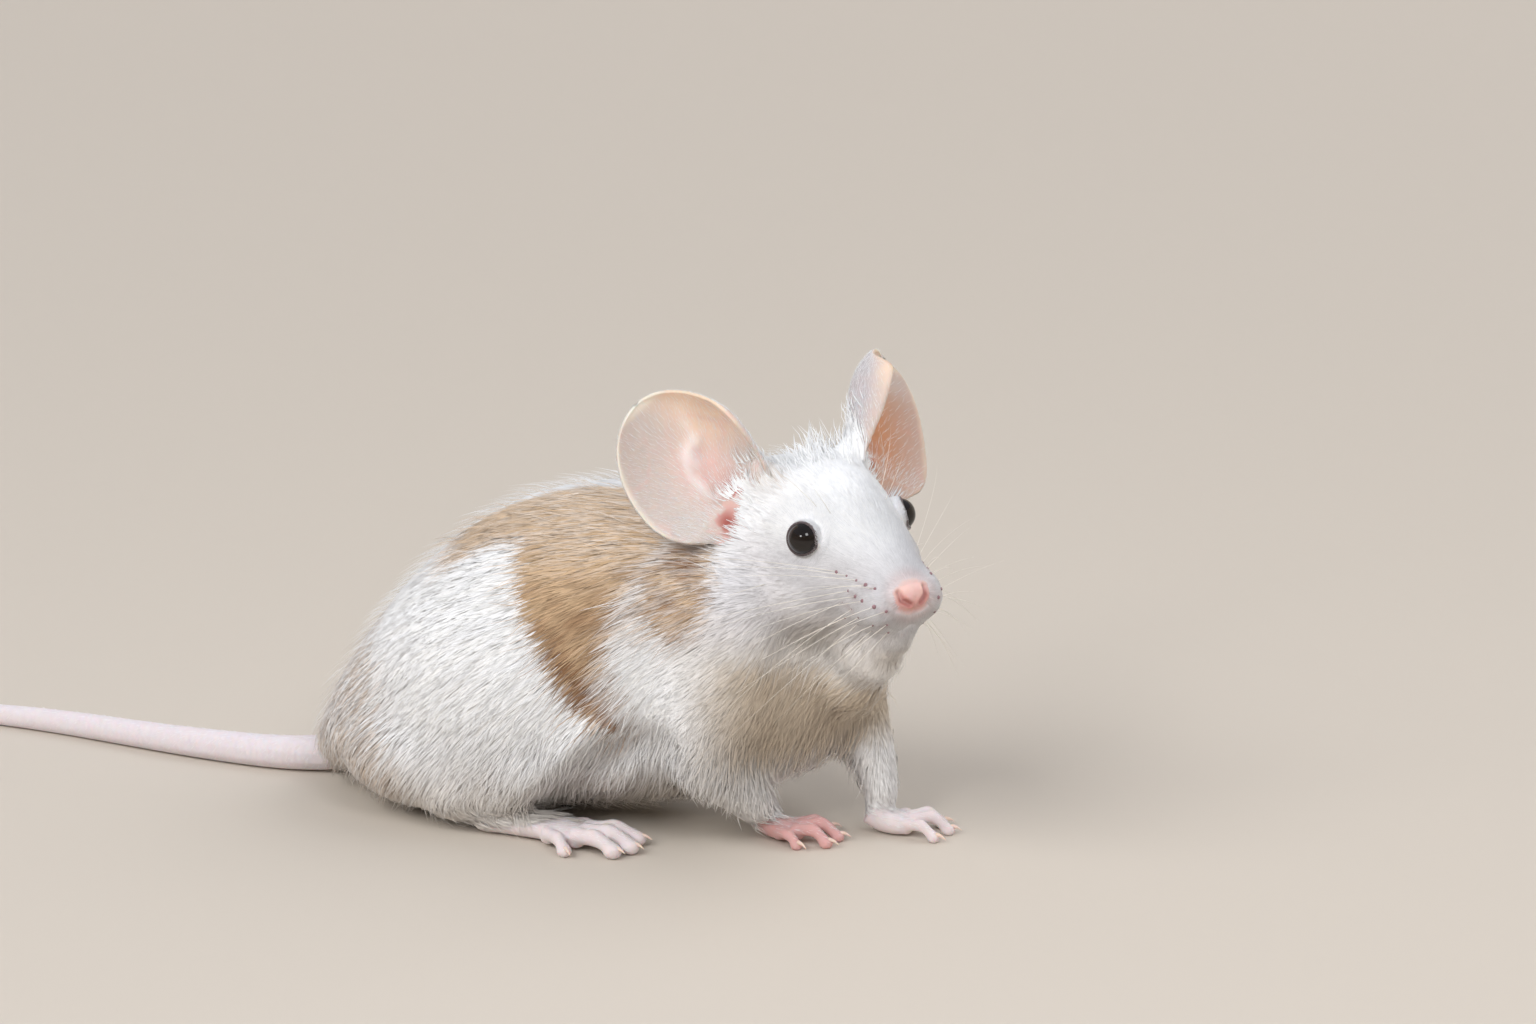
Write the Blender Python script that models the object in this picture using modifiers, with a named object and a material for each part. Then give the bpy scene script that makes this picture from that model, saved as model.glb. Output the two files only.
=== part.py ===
"""Life-size still model of a fat, short-haired pet mouse crouching on a level floor.

Metres, +Z up, +X towards the chest, +Y to the animal's left. The origin lies on the floor
under the middle of the body's box. All named sizes below are millimetres. The solids reach
out to the tips of the coat.
"""

from math import cos, pi, radians, sin

import bmesh
import bpy
from mathutils import Matrix, Vector

MM = 0.001
GAP = 0.3
COLLECTION = "pet_mouse"

# Melting grids in millimetres, smoothing rounds and triangle counts.
BODY_GRID = 0.7
BODY_SMOOTHING = 8
FOOT_GRID = 0.24
FOOT_SMOOTHING = 3
HEAD_TRIANGLES = 1250
TRUNK_TRIANGLES = 1900
HIND_FOOT_TRIANGLES = 480
FOREPAW_TRIANGLES = 380

# Trunk: x, middle y, underside, ridge of the back, half width.
TRUNK = (
    (-37.4, -1.6, 3.4, 8.0, 2.6),
    (-35.6, -1.4, 1.8, 11.5, 7.0),
    (-32.0, -1.0, 1.1, 18.0, 11.5),
    (-27.0, -0.5, 0.8, 25.2, 14.5),
    (-20.0, 0.0, 0.7, 32.6, 16.5),
    (-12.0, 0.0, 0.8, 37.7, 17.0),
    (-3.0, 0.0, 1.3, 40.6, 16.6),
    (6.0, 0.4, 2.4, 41.6, 15.2),
    (14.0, 1.2, 4.6, 40.6, 13.6),
    (21.0, 2.2, 6.2, 37.0, 12.2),
    (26.5, 3.0, 8.6, 32.5, 10.0),
    (30.2, 3.6, 14.5, 28.0, 5.6),
)

# Haunch and shoulder swellings on the right side: centre, radii, nose-down turn in degrees.
HAUNCH = ((-9.5, -9.6, 16.0), (16.5, 9.8, 15.0), -12.0)
RUMP = ((-18.6, -8.0, 8.7), (13.6, 10.6, 8.4), 0.0)
HOCK = ((-13.5, -12.6, 5.0), (6.0, 5.0, 4.5), 0.0)
KNEE = ((3.4, -12.4, 11.6), (6.6, 5.2, 8.2), 0.0)
SHOULDER = ((15.5, -6.6, 22.0), (10.5, 7.6, 13.5), 0.0)
LEFT_SHOULDER_AHEAD = 4.0

# Fore limbs inside the coat, from shoulder to wrist: x, y, z, radius.
FORELEG_RIGHT = (
    (14.5, -8.0, 22.0, 6.2), (16.0, -8.4, 12.0, 5.0), (18.8, -5.2, 7.0, 3.2), (21.6, -2.0, 2.4, 2.1),
)
FORELEG_LEFT = (
    (23.5, 8.6, 23.0, 6.2), (26.5, 9.2, 13.5, 5.6), (30.6, 7.4, 8.6, 3.2), (32.7, 5.2, 2.4, 2.1),
)
ANKLE_RIGHT = ((-2.0, -13.4, 10.0, 5.0), (-7.5, -13.4, 6.0, 3.4), (-9.3, -12.9, 3.2, 2.2))

# Neck: x, y, z, half width, half height.
NECK = (
    (8.0, 1.0, 28.0, 12.0, 12.0),
    (14.0, 2.2, 31.0, 11.8, 10.6),
    (19.5, 3.4, 34.5, 11.0, 10.4),
    (24.0, 2.6, 36.0, 10.0, 10.0),
)

# Head, in its own axes: ahead, to its left and up from the point midway between the eyes.
EYES_MIDDLE = (31.6, -2.2, 38.6)
HEAD_YAW = -33.0
HEAD_ROLL = 4.0
# Along the head: ahead, underside, top, half width.
SKULL = (
    (-17.0, -7.0, 3.0, 6.0),
    (-14.0, -10.5, 6.0, 8.8),
    (-9.0, -12.6, 7.4, 10.2),
    (-4.0, -13.0, 7.2, 9.4),
    (0.0, -12.8, 5.8, 7.9),
    (4.0, -12.2, 3.2, 6.4),
    (7.6, -11.4, -0.2, 5.0),
    (9.8, -10.4, -2.3, 3.9),
    (11.2, -8.4, -3.7, 2.4),
    (11.9, -7.0, -4.6, 1.2),
)
CHEEK = ((-4.0, 5.2, -6.0), (8.2, 5.4, 6.6))
WHISKER_PAD = ((7.9, 2.8, -6.4), (3.7, 3.0, 3.4))
CHIN = ((6.6, 0.0, -10.2), (4.2, 3.0, 2.4))

# Where the head is parted from the neck: a point of the plane and its facing, in head axes.
HEAD_CUT = (-15.0, 0.0, 7.0)
HEAD_CUT_FACING = (0.845, 0.0, 0.535)
# Where the neck is parted from the trunk, in the body's axes.
NECK_CUT = (7.5, 0.0, 41.0)
NECK_CUT_FACING = (0.78, -0.15, 0.60)

# Limbs are parted from the trunk along ellipsoids: centre and radii.
HAUNCH_CUT = ((-8.0, -15.0, 14.0), (17.5, 9.5, 15.5))
ARM_CUT_RIGHT = ((18.0, -9.2, 11.5), (9.2, 10.4, 13.0))
ARM_CUT_LEFT = ((28.8, 10.0, 11.5), (9.2, 10.4, 13.0))

EYE_RADIUS = 2.15
EYE_PLACE = (0.0, 6.3, 0.0)

# Ears: scoops whose front edge rolls forward. Root, lengthwise direction and the way the
# scoop opens are in the head's own axes.
EARS = {
    "ear_R": ((-11.0, -8.8, 1.8), (-8.35, -6.67, 11.9), (0.80, -0.54, 0.26)),
    "ear_L": ((-11.0, 9.8, 1.6), (-9.2, 7.6, 10.6), (0.82, 0.50, 0.26)),
}
EAR_HALF_LENGTH = 8.1
EAR_MIDDLE = 7.6
EAR_WIDEST = -0.3
EAR_REAR_WIDTH = 8.2
EAR_REAR_CUP = 3.0
EAR_FLAT_WIDTH = 3.0
EAR_ROLL_RADIUS = 4.4
EAR_ROLL_ANGLE = 112.0
EAR_ROLL_START = 0.3
EAR_ROOT_WIDTH = 0.68
EAR_TIP_LEAN = 1.4
EAR_THICKNESS = 0.6
EAR_STEPS = 9

# Feet, in their own axes from heel or wrist: ahead, to the animal's left, up.
HIND_HEEL_RIGHT = (-10.6, -12.9)
HIND_TURN = 0.0
HIND_SOLE = (
    (-0.8, 0.0, 1.9, 0.9, 1.0),
    (0.5, 0.0, 1.6, 1.7, 1.7),
    (3.5, 0.0, 1.5, 1.9, 1.6),
    (8.0, 0.1, 1.5, 2.2, 1.55),
    (11.5, 0.2, 1.35, 2.9, 1.4),
    (14.0, 0.3, 1.3, 2.7, 1.2),
)
# Toes: root, knuckle and tip, each ahead, left, up, with the toe's radius.
HIND_TOES = (
    ((9.6, -1.9, 1.5), (11.8, -3.4, 1.7), (13.0, -4.3, 0.8), 0.85),
    ((13.0, -1.6, 1.6), (16.0, -2.3, 2.0), (18.3, -2.6, 1.0), 1.05),
    ((13.6, -0.2, 1.7), (17.0, -0.4, 2.2), (19.6, -0.5, 1.0), 1.0),
    ((13.4, 1.2, 1.6), (16.6, 1.7, 2.1), (19.2, 2.2, 1.0), 0.95),
    ((10.0, 2.0, 1.4), (11.9, 3.1, 1.4), (13.2, 3.9, 0.8), 0.8),
)
FORE_WRIST_RIGHT = (20.8, -1.8)
FORE_WRIST_LEFT = (31.8, 5.0)
FORE_TURN_RIGHT = 12.0
FORE_TURN_LEFT = 18.0
FORE_SOLE = (
    (-0.6, 0.0, 2.6, 1.7, 1.7),
    (1.0, 0.0, 1.6, 1.9, 1.6),
    (2.8, 0.0, 1.15, 2.2, 1.35),
    (4.2, 0.0, 1.15, 2.0, 1.1),
)
FORE_TOES = (
    ((1.8, -1.5, 1.4), (3.4, -2.8, 1.4), (4.3, -3.4, 0.6), 0.7),
    ((3.8, -1.2, 1.5), (6.0, -1.9, 1.9), (7.5, -2.2, 0.7), 0.8),
    ((4.0, 0.0, 1.6), (6.6, 0.1, 2.1), (8.4, 0.2, 0.7), 0.8),
    ((3.4, 1.3, 1.4), (5.4, 2.2, 1.7), (6.9, 2.9, 0.65), 0.75),
)
CLAW_LENGTH = 1.3
CLAW_RADIUS = 0.3

# Tail on the floor: x, y. Its radius falls from root to tip.
TAIL_PATH = (
    (-33.0, -1.0), (-38.0, -2.3), (-45.0, -3.9), (-55.0, -4.3), (-65.0, -3.9), (-76.0, -3.4),
    (-86.0, -3.8), (-97.0, -5.6), (-108.0, -9.0), (-118.0, -13.6), (-127.0, -19.4),
)
TAIL_ROOT_RADIUS = 2.5
TAIL_TIP_RADIUS = 0.55
TAIL_ROOT_RISE = 1.6
TAIL_FLAT = 0.15

COLOURS = {
    "coat": ((0.86, 0.84, 0.80), 0.9),
    "skin": ((0.86, 0.66, 0.62), 0.55),
    "ear": ((0.80, 0.66, 0.58), 0.6),
    "eye": ((0.006, 0.005, 0.005), 0.08),
}


def clear_scene():
    for item in list(bpy.data.objects):
        bpy.data.objects.remove(item, do_unlink=True)


def material(name):
    found = bpy.data.materials.get(name)
    if found:
        return found
    colour, roughness = COLOURS[name]
    made = bpy.data.materials.new(name)
    made.use_nodes = True
    shader = made.node_tree.nodes["Principled BSDF"]
    shader.inputs["Base Color"].default_value = (*colour, 1.0)
    shader.inputs["Roughness"].default_value = roughness
    shader.inputs["Metallic"].default_value = 0.0
    return made


def collection(name):
    found = bpy.data.collections.get(name)
    if not found:
        found = bpy.data.collections.new(name)
        bpy.context.scene.collection.children.link(found)
    return found


def object_from(name, mesh, group):
    made = bpy.data.objects.new(name, mesh)
    collection(group).objects.link(made)
    return made


def object_from_bmesh(name, bm, group="workshop"):
    """Closes a millimetre bmesh into a metre object with outward faces."""
    bmesh.ops.recalc_face_normals(bm, faces=bm.faces)
    bmesh.ops.scale(bm, vec=(MM, MM, MM), verts=bm.verts)
    mesh = bpy.data.meshes.new(name)
    bm.to_mesh(mesh)
    bm.free()
    return object_from(name, mesh, group)


def remove(item):
    bpy.data.objects.remove(item, do_unlink=True)


def apply_modifiers(item):
    evaluated = item.evaluated_get(bpy.context.evaluated_depsgraph_get())
    mesh = bpy.data.meshes.new_from_object(evaluated)
    item.modifiers.clear()
    item.data = mesh


def boolean(item, cutter, operation):
    step = item.modifiers.new(operation, "BOOLEAN")
    step.operation = operation
    step.solver = "EXACT"
    step.object = cutter
    apply_modifiers(item)


def copy_of(item, name):
    return object_from(name, item.data.copy(), "workshop")


def eased(rows, steps):
    """Rows of numbers with smooth in-between rows, by Catmull-Rom."""
    padded = [rows[0], *rows, rows[-1]]
    result = []
    for a, b, c, d in zip(padded, padded[1:], padded[2:], padded[3:]):
        for step in range(steps):
            t = step / steps
            result.append(tuple(
                0.5 * (2 * q + (r - p) * t + (2 * p - 5 * q + 4 * r - s) * t * t
                       + (3 * q - p - 3 * r + s) * t * t * t)
                for p, q, r, s in zip(a, b, c, d)))
    result.append(rows[-1])
    return result


def ring_matrix(centre, ahead, half_width, half_height):
    """Takes a unit circle to an ellipse across the direction ahead."""
    ahead = Vector(ahead).normalized()
    side = Vector((0, 0, 1)).cross(ahead)
    if side.length < 0.2:
        side = Vector((0, 1, 0))
    side.normalize()
    up = ahead.cross(side)
    turn = Matrix((side * half_width, up * half_height, ahead)).transposed().to_4x4()
    return Matrix.Translation(centre) @ turn


def add_loft(bm, rings, segments, place=Matrix()):
    """Skins a row of rings, with both ends capped."""
    previous = None
    for number, matrix in enumerate(rings):
        ends = number in (0, len(rings) - 1)
        made = bmesh.ops.create_circle(bm, cap_ends=ends, segments=segments, radius=1.0,
                                       matrix=place @ matrix)
        edges = list({edge for vert in made["verts"] for edge in vert.link_edges})
        if previous:
            bmesh.ops.bridge_loops(bm, edges=previous + edges)
        previous = edges


def add_tube(bm, rows, segments, place=Matrix(), steps=1):
    """A limb or toe: rows of x, y, z, then one or two radii."""
    rows = eased(rows, steps)
    rings = []
    for number, row in enumerate(rows):
        before = Vector(rows[max(number - 1, 0)][:3])
        after = Vector(rows[min(number + 1, len(rows) - 1)][:3])
        rings.append(ring_matrix(Vector(row[:3]), after - before, row[3], row[-1]))
    add_loft(bm, rings, segments, place)


def add_ellipsoid(bm, centre, radii, place=Matrix(), turn=0.0, segments=20):
    shape = (place @ Matrix.Translation(centre) @ Matrix.Rotation(radians(turn), 4, "Y")
             @ Matrix.Diagonal((*radii, 1.0)))
    bmesh.ops.create_uvsphere(bm, u_segments=segments, v_segments=segments // 2, radius=1.0, matrix=shape)


def mirrored(point):
    return (point[0], -point[1], point[2])


def head_axes():
    """The head's own axes in the body's, in millimetres."""
    return (Matrix.Translation(EYES_MIDDLE) @ Matrix.Rotation(radians(HEAD_YAW), 4, "Z")
            @ Matrix.Rotation(radians(HEAD_ROLL), 4, "X"))


def remeshed(item, voxel, rounds):
    melt = item.modifiers.new("melt", "REMESH")
    melt.mode = "VOXEL"
    melt.voxel_size = voxel * MM
    soften = item.modifiers.new("soften", "SMOOTH")
    soften.factor = 0.5
    soften.iterations = rounds
    apply_modifiers(item)


def thinned(item, triangles):
    """Brings an object down to about this many triangles."""
    count = sum(len(face.vertices) - 2 for face in item.data.polygons)
    if count > triangles:
        step = item.modifiers.new("thin", "DECIMATE")
        step.ratio = triangles / count
        step.use_collapse_triangulate = True
        apply_modifiers(item)


def body_flesh():
    """Trunk, haunches, shoulders, limbs, neck and head melted into one closed body."""
    bm = bmesh.new()
    rows = eased(TRUNK, 3)
    rings = [ring_matrix((x, y, (low + high) / 2), (1, 0, 0), wide, (high - low) / 2)
             for x, y, low, high, wide in rows]
    add_loft(bm, rings, 32)
    for centre, radii, turn in (HAUNCH, RUMP, HOCK, KNEE, SHOULDER):
        add_ellipsoid(bm, centre, radii, turn=turn)
        ahead = LEFT_SHOULDER_AHEAD if centre == SHOULDER[0] else 0.0
        add_ellipsoid(bm, Vector(mirrored(centre)) + Vector((ahead, 0, 0)), radii, turn=turn)
    add_tube(bm, FORELEG_RIGHT, 16, steps=3)
    add_tube(bm, FORELEG_LEFT, 16, steps=3)
    add_tube(bm, ANKLE_RIGHT, 16, steps=3)
    add_tube(bm, [(x, -y, z, r) for x, y, z, r in ANKLE_RIGHT], 16, steps=3)
    add_tube(bm, NECK, 28, steps=3)
    axes = head_axes()
    rings = [ring_matrix((x, 0, (low + high) / 2), (1, 0, 0), wide, (high - low) / 2)
             for x, low, high, wide in eased(SKULL, 3)]
    add_loft(bm, rings, 28, axes)
    add_ellipsoid(bm, *CHIN, place=axes)
    for centre, radii in (CHEEK, WHISKER_PAD):
        add_ellipsoid(bm, centre, radii, place=axes)
        add_ellipsoid(bm, mirrored(centre), radii, place=axes)
    flesh = object_from_bmesh("flesh", bm)
    remeshed(flesh, BODY_GRID, BODY_SMOOTHING)
    return flesh


def ear_point(across, along):
    """Ear surface from a square in -1..1, from rear to front edge and from root to tip."""
    v = sin(along * pi / 2)
    if v > EAR_WIDEST:
        chord = max(0.0, 1 - ((v - EAR_WIDEST) / (1 - EAR_WIDEST)) ** 2) ** 0.5
    else:
        chord = (1 - (1 - EAR_ROOT_WIDTH ** 2) * ((EAR_WIDEST - v) / (1 + EAR_WIDEST)) ** 2) ** 0.5
    if across < 0:
        width = EAR_REAR_WIDTH * across
        rise = EAR_REAR_CUP * across * across
    else:
        roll = radians(EAR_ROLL_ANGLE) * max(0.0, across - EAR_ROLL_START) / (1 - EAR_ROLL_START)
        width = EAR_FLAT_WIDTH * min(1.0, across / EAR_ROLL_START) + EAR_ROLL_RADIUS * sin(roll)
        rise = EAR_ROLL_RADIUS * (1 - cos(roll))
    return chord * width, EAR_MIDDLE + v * EAR_HALF_LENGTH, chord * rise + EAR_TIP_LEAN * v * v


def ear(name):
    root, lengthwise, opening = (Vector(value) for value in EARS[name])
    side = 1 if root.y > 0 else -1
    lengthwise.normalize()
    opening = (opening - lengthwise * opening.dot(lengthwise)).normalized()
    front = lengthwise.cross(opening) * -side
    turn = Matrix((front, lengthwise, opening)).transposed().to_4x4()
    place = head_axes() @ Matrix.Translation(root) @ turn
    bm = bmesh.new()
    bmesh.ops.create_grid(bm, x_segments=EAR_STEPS, y_segments=EAR_STEPS, size=1.0)
    for vert in bm.verts:
        vert.co = place @ Vector(ear_point(vert.co.x, vert.co.y))
    bmesh.ops.remove_doubles(bm, verts=bm.verts, dist=0.01)
    item = object_from_bmesh(name, bm)
    shell = item.modifiers.new("thickness", "SOLIDIFY")
    shell.thickness = EAR_THICKNESS * MM
    shell.offset = 0.0
    shell.use_even_offset = True
    apply_modifiers(item)
    return item


def foot(name, sole, toes, ground, turn, triangles):
    """A bare foot with pads, toes and claws, on small flats at the floor."""
    place = Matrix.Translation((*ground, 0.0)) @ Matrix.Rotation(radians(turn), 4, "Z")
    bm = bmesh.new()
    add_tube(bm, sole, 14, place, steps=3)
    for root, knuckle, tip, radius in toes:
        rows = ((*root, radius * 1.05), (*knuckle, radius), (*tip, radius * 0.95))
        add_tube(bm, rows, 10, place, steps=2)
        add_ellipsoid(bm, tip, (radius * 1.1,) * 3, place, segments=10)
        ahead = (Vector(tip) - Vector(knuckle)).normalized()
        ahead.z = -0.15
        start = Vector(tip) + ahead * radius * 0.5 + Vector((0, 0, 0.3))
        end = start + ahead * (CLAW_LENGTH + radius * 0.5)
        add_tube(bm, ((*start, CLAW_RADIUS * 1.3), (*end, CLAW_RADIUS)), 8, place)
    item = object_from_bmesh(name, bm)
    remeshed(item, FOOT_GRID, FOOT_SMOOTHING)
    thinned(item, triangles)
    settle(item)
    return item


def settle(item):
    """Cuts the object off flat at the floor."""
    bm = bmesh.new()
    bm.from_mesh(item.data)
    cut = bmesh.ops.bisect_plane(bm, geom=bm.verts[:] + bm.edges[:] + bm.faces[:], dist=1e-7,
                                 plane_co=(0, 0, 0), plane_no=(0, 0, -1), clear_outer=True)
    rim = [edge for edge in cut["geom_cut"] if isinstance(edge, bmesh.types.BMEdge)]
    bmesh.ops.holes_fill(bm, edges=rim, sides=0)
    bmesh.ops.triangulate(bm, faces=bm.faces)
    bmesh.ops.recalc_face_normals(bm, faces=bm.faces)
    bm.to_mesh(item.data)
    bm.free()


def mirror_copy(item, name):
    made = copy_of(item, name)
    bm = bmesh.new()
    bm.from_mesh(made.data)
    bmesh.ops.scale(bm, vec=(1, -1, 1), verts=bm.verts)
    bmesh.ops.reverse_faces(bm, faces=bm.faces)
    bm.to_mesh(made.data)
    bm.free()
    return made


def grown(item, distance):
    """A copy swollen outwards by this many millimetres, to cut clearances with."""
    swollen = copy_of(item, item.name + "_grown")
    step = swollen.modifiers.new("swell", "DISPLACE")
    step.strength = distance * MM
    step.mid_level = 0.0
    apply_modifiers(swollen)
    return swollen


def slab(centre, ahead, thickness, reach):
    """A cutting plate across the direction ahead."""
    turn = Vector(ahead).normalized().to_track_quat("X", "Z").to_matrix().to_4x4()
    bm = bmesh.new()
    bmesh.ops.create_cube(bm, size=1.0, matrix=Matrix.Translation(centre) @ turn
                          @ Matrix.Diagonal((thickness, reach, reach, 1.0)))
    return object_from_bmesh("plate", bm)


def block_ahead(centre, ahead, offset, reach=60.0):
    """Everything beyond the plane through centre, from offset millimetres on."""
    direction = Vector(ahead).normalized()
    return slab(Vector(centre) + direction * (offset + reach / 2), direction, reach, reach)


def split_by_plane(item, centre, ahead, name_ahead):
    """Parts an object with a thin plane cut; returns the piece ahead of it."""
    front = copy_of(item, name_ahead)
    beyond = block_ahead(centre, ahead, GAP / 2)
    boolean(front, beyond, "INTERSECT")
    remove(beyond)
    beyond = block_ahead(centre, ahead, -GAP / 2)
    boolean(item, beyond, "DIFFERENCE")
    remove(beyond)
    return front


def split_by_ellipsoid(item, centre, radii, name_inside):
    """Parts an object along an ellipsoid; returns the piece inside it."""
    inside = copy_of(item, name_inside)
    for target, swell, operation in ((inside, 0.0, "INTERSECT"), (item, GAP, "DIFFERENCE")):
        bm = bmesh.new()
        add_ellipsoid(bm, centre, [radius + swell for radius in radii], segments=14)
        cutter = object_from_bmesh("cutter", bm)
        boolean(target, cutter, operation)
        remove(cutter)
    return inside


def largest_body(item):
    """Drops slivers that a cut has left beside the main body."""
    bm = bmesh.new()
    bm.from_mesh(item.data)
    bm.verts.ensure_lookup_table()
    unseen = set(bm.verts)
    bodies = []
    while unseen:
        front = [unseen.pop()]
        body = set(front)
        while front:
            vert = front.pop()
            near = {edge.other_vert(vert) for edge in vert.link_edges} & unseen
            unseen -= near
            body |= near
            front.extend(near)
        bodies.append(body)
    bodies.sort(key=len)
    for body in bodies[:-1]:
        bmesh.ops.delete(bm, geom=list(body), context="VERTS")
    bmesh.ops.dissolve_degenerate(bm, dist=1e-6, edges=bm.edges)
    bmesh.ops.triangulate(bm, faces=bm.faces)
    bm.to_mesh(item.data)
    bm.free()


def eye_ball(name, side, swell=0.0):
    centre = head_axes() @ Vector((EYE_PLACE[0], side * EYE_PLACE[1], EYE_PLACE[2]))
    bm = bmesh.new()
    bmesh.ops.create_uvsphere(bm, u_segments=14, v_segments=8, radius=EYE_RADIUS + swell,
                              matrix=Matrix.Translation(centre))
    return object_from_bmesh(name, bm)


def tail_rows():
    """Tail centre line and radius at even steps from root to tip."""
    rows = eased(TAIL_PATH, 2)
    count = len(rows) - 1
    result = []
    for number, (x, y) in enumerate(rows):
        share = number / count
        radius = TAIL_TIP_RADIUS + (TAIL_ROOT_RADIUS - TAIL_TIP_RADIUS) * (1 - share) ** 0.9
        rise = TAIL_ROOT_RISE * max(0.0, 1 - share * 7) ** 2
        result.append(Vector((x, y, radius - TAIL_FLAT + rise, radius)))
    return result


def tail_piece(name, rows, first, last):
    """One length of tail; a gap is left before the next length."""
    rows = [row.copy() for row in rows[first:last + 1]]
    step = (rows[-1] - rows[-2]).normalized()
    rows[-1] -= step * GAP
    bm = bmesh.new()
    add_tube(bm, [tuple(row) for row in rows], 10)
    item = object_from_bmesh(name, bm)
    settle(item)
    return item


def finish(item, colour):
    item.data.materials.clear()
    item.data.materials.append(material(colour))
    for group in list(item.users_collection):
        group.objects.unlink(item)
    collection(COLLECTION).objects.link(item)
    item.data.shade_smooth()
    item.data.set_sharp_from_angle(angle=radians(40))


def centre_on_floor(items):
    """Moves the whole animal so that its box stands centred over the origin."""
    points = [vert.co for item in items for vert in item.data.vertices]
    middle = Vector(((min(p.x for p in points) + max(p.x for p in points)) / 2,
                     (min(p.y for p in points) + max(p.y for p in points)) / 2, 0.0))
    for item in items:
        item.data.transform(Matrix.Translation(-middle))


def build():
    clear_scene()
    flesh = body_flesh()

    hind_right = foot("hind_foot_R", HIND_SOLE, HIND_TOES, HIND_HEEL_RIGHT, HIND_TURN,
                      HIND_FOOT_TRIANGLES)
    hind_left = mirror_copy(hind_right, "hind_foot_L")
    left_toes = [[mirrored(p) for p in toe[:3]] + [toe[3]] for toe in FORE_TOES]
    fore_right = foot("forepaw_R", FORE_SOLE, FORE_TOES, FORE_WRIST_RIGHT, FORE_TURN_RIGHT,
                      FOREPAW_TRIANGLES)
    fore_left = foot("forepaw_L", FORE_SOLE, left_toes, FORE_WRIST_LEFT, FORE_TURN_LEFT,
                     FOREPAW_TRIANGLES)
    feet = [hind_right, hind_left, fore_right, fore_left]

    axes = head_axes()
    throat_turn = axes.to_3x3() @ Vector(HEAD_CUT_FACING)
    head = split_by_plane(flesh, axes @ Vector(HEAD_CUT), throat_turn, "head")
    thinned(head, HEAD_TRIANGLES)
    thinned(flesh, TRUNK_TRIANGLES)

    eyes = []
    for name, side in (("eye_R", -1), ("eye_L", 1)):
        socket = eye_ball("socket", side, GAP)
        boolean(head, socket, "DIFFERENCE")
        remove(socket)
        eyes.append(eye_ball(name, side))

    shell = copy_of(flesh, "shell")
    head_grown = grown(head, GAP)
    shell_grown = grown(shell, GAP)
    ears = []
    for name in EARS:
        item = ear(name)
        boolean(item, head_grown, "DIFFERENCE")
        boolean(item, shell_grown, "DIFFERENCE")
        ears.append(item)

    rows = tail_rows()
    third = len(rows) // 3
    tail = [tail_piece("tail_base", rows, 0, third), tail_piece("tail_middle", rows, third, 2 * third),
            tail_piece("tail_tip", rows, 2 * third, len(rows) - 1)]
    boolean(tail[0], shell_grown, "DIFFERENCE")

    for item in feet:
        cutter = grown(item, GAP)
        boolean(flesh, cutter, "DIFFERENCE")
        remove(cutter)

    neck = split_by_plane(flesh, NECK_CUT, NECK_CUT_FACING, "neck")
    haunch_left = (mirrored(HAUNCH_CUT[0]), HAUNCH_CUT[1])
    limbs = [
        split_by_ellipsoid(flesh, *HAUNCH_CUT, "haunch_R"),
        split_by_ellipsoid(flesh, *haunch_left, "haunch_L"),
        split_by_ellipsoid(flesh, *ARM_CUT_RIGHT, "foreleg_R"),
        split_by_ellipsoid(flesh, *ARM_CUT_LEFT, "foreleg_L"),
    ]
    for item in (shell, head_grown, shell_grown):
        remove(item)

    coat = [head, neck, flesh, *limbs]
    flesh.name = "trunk"
    parts = coat + feet + ears + eyes + tail
    for item in parts:
        largest_body(item)
    centre_on_floor(parts)
    for item in parts:
        kind = "coat" if item in coat else "ear" if item in ears else "eye" if item in eyes else "skin"
        finish(item, kind)
    bpy.data.collections.remove(collection("workshop"))


build()
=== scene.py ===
"""Life-size white and fawn pet mouse: skin, coat, face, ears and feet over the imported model.

Shapes are in metres. The tables of places are millimetres: on the head ahead, left and up
from the point midway between the eyes, on a foot the same from its heel, and elsewhere in
the model's own axes.
"""

from math import cos, pi, radians, sin

import bmesh
import bpy
import numpy as np
from bpy.props import FloatProperty, FloatVectorProperty, PointerProperty
from bpy.types import Operator, Panel, PropertyGroup
from mathutils import Matrix, Vector
from mathutils.bvhtree import BVHTree
from mathutils.kdtree import KDTree


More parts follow.
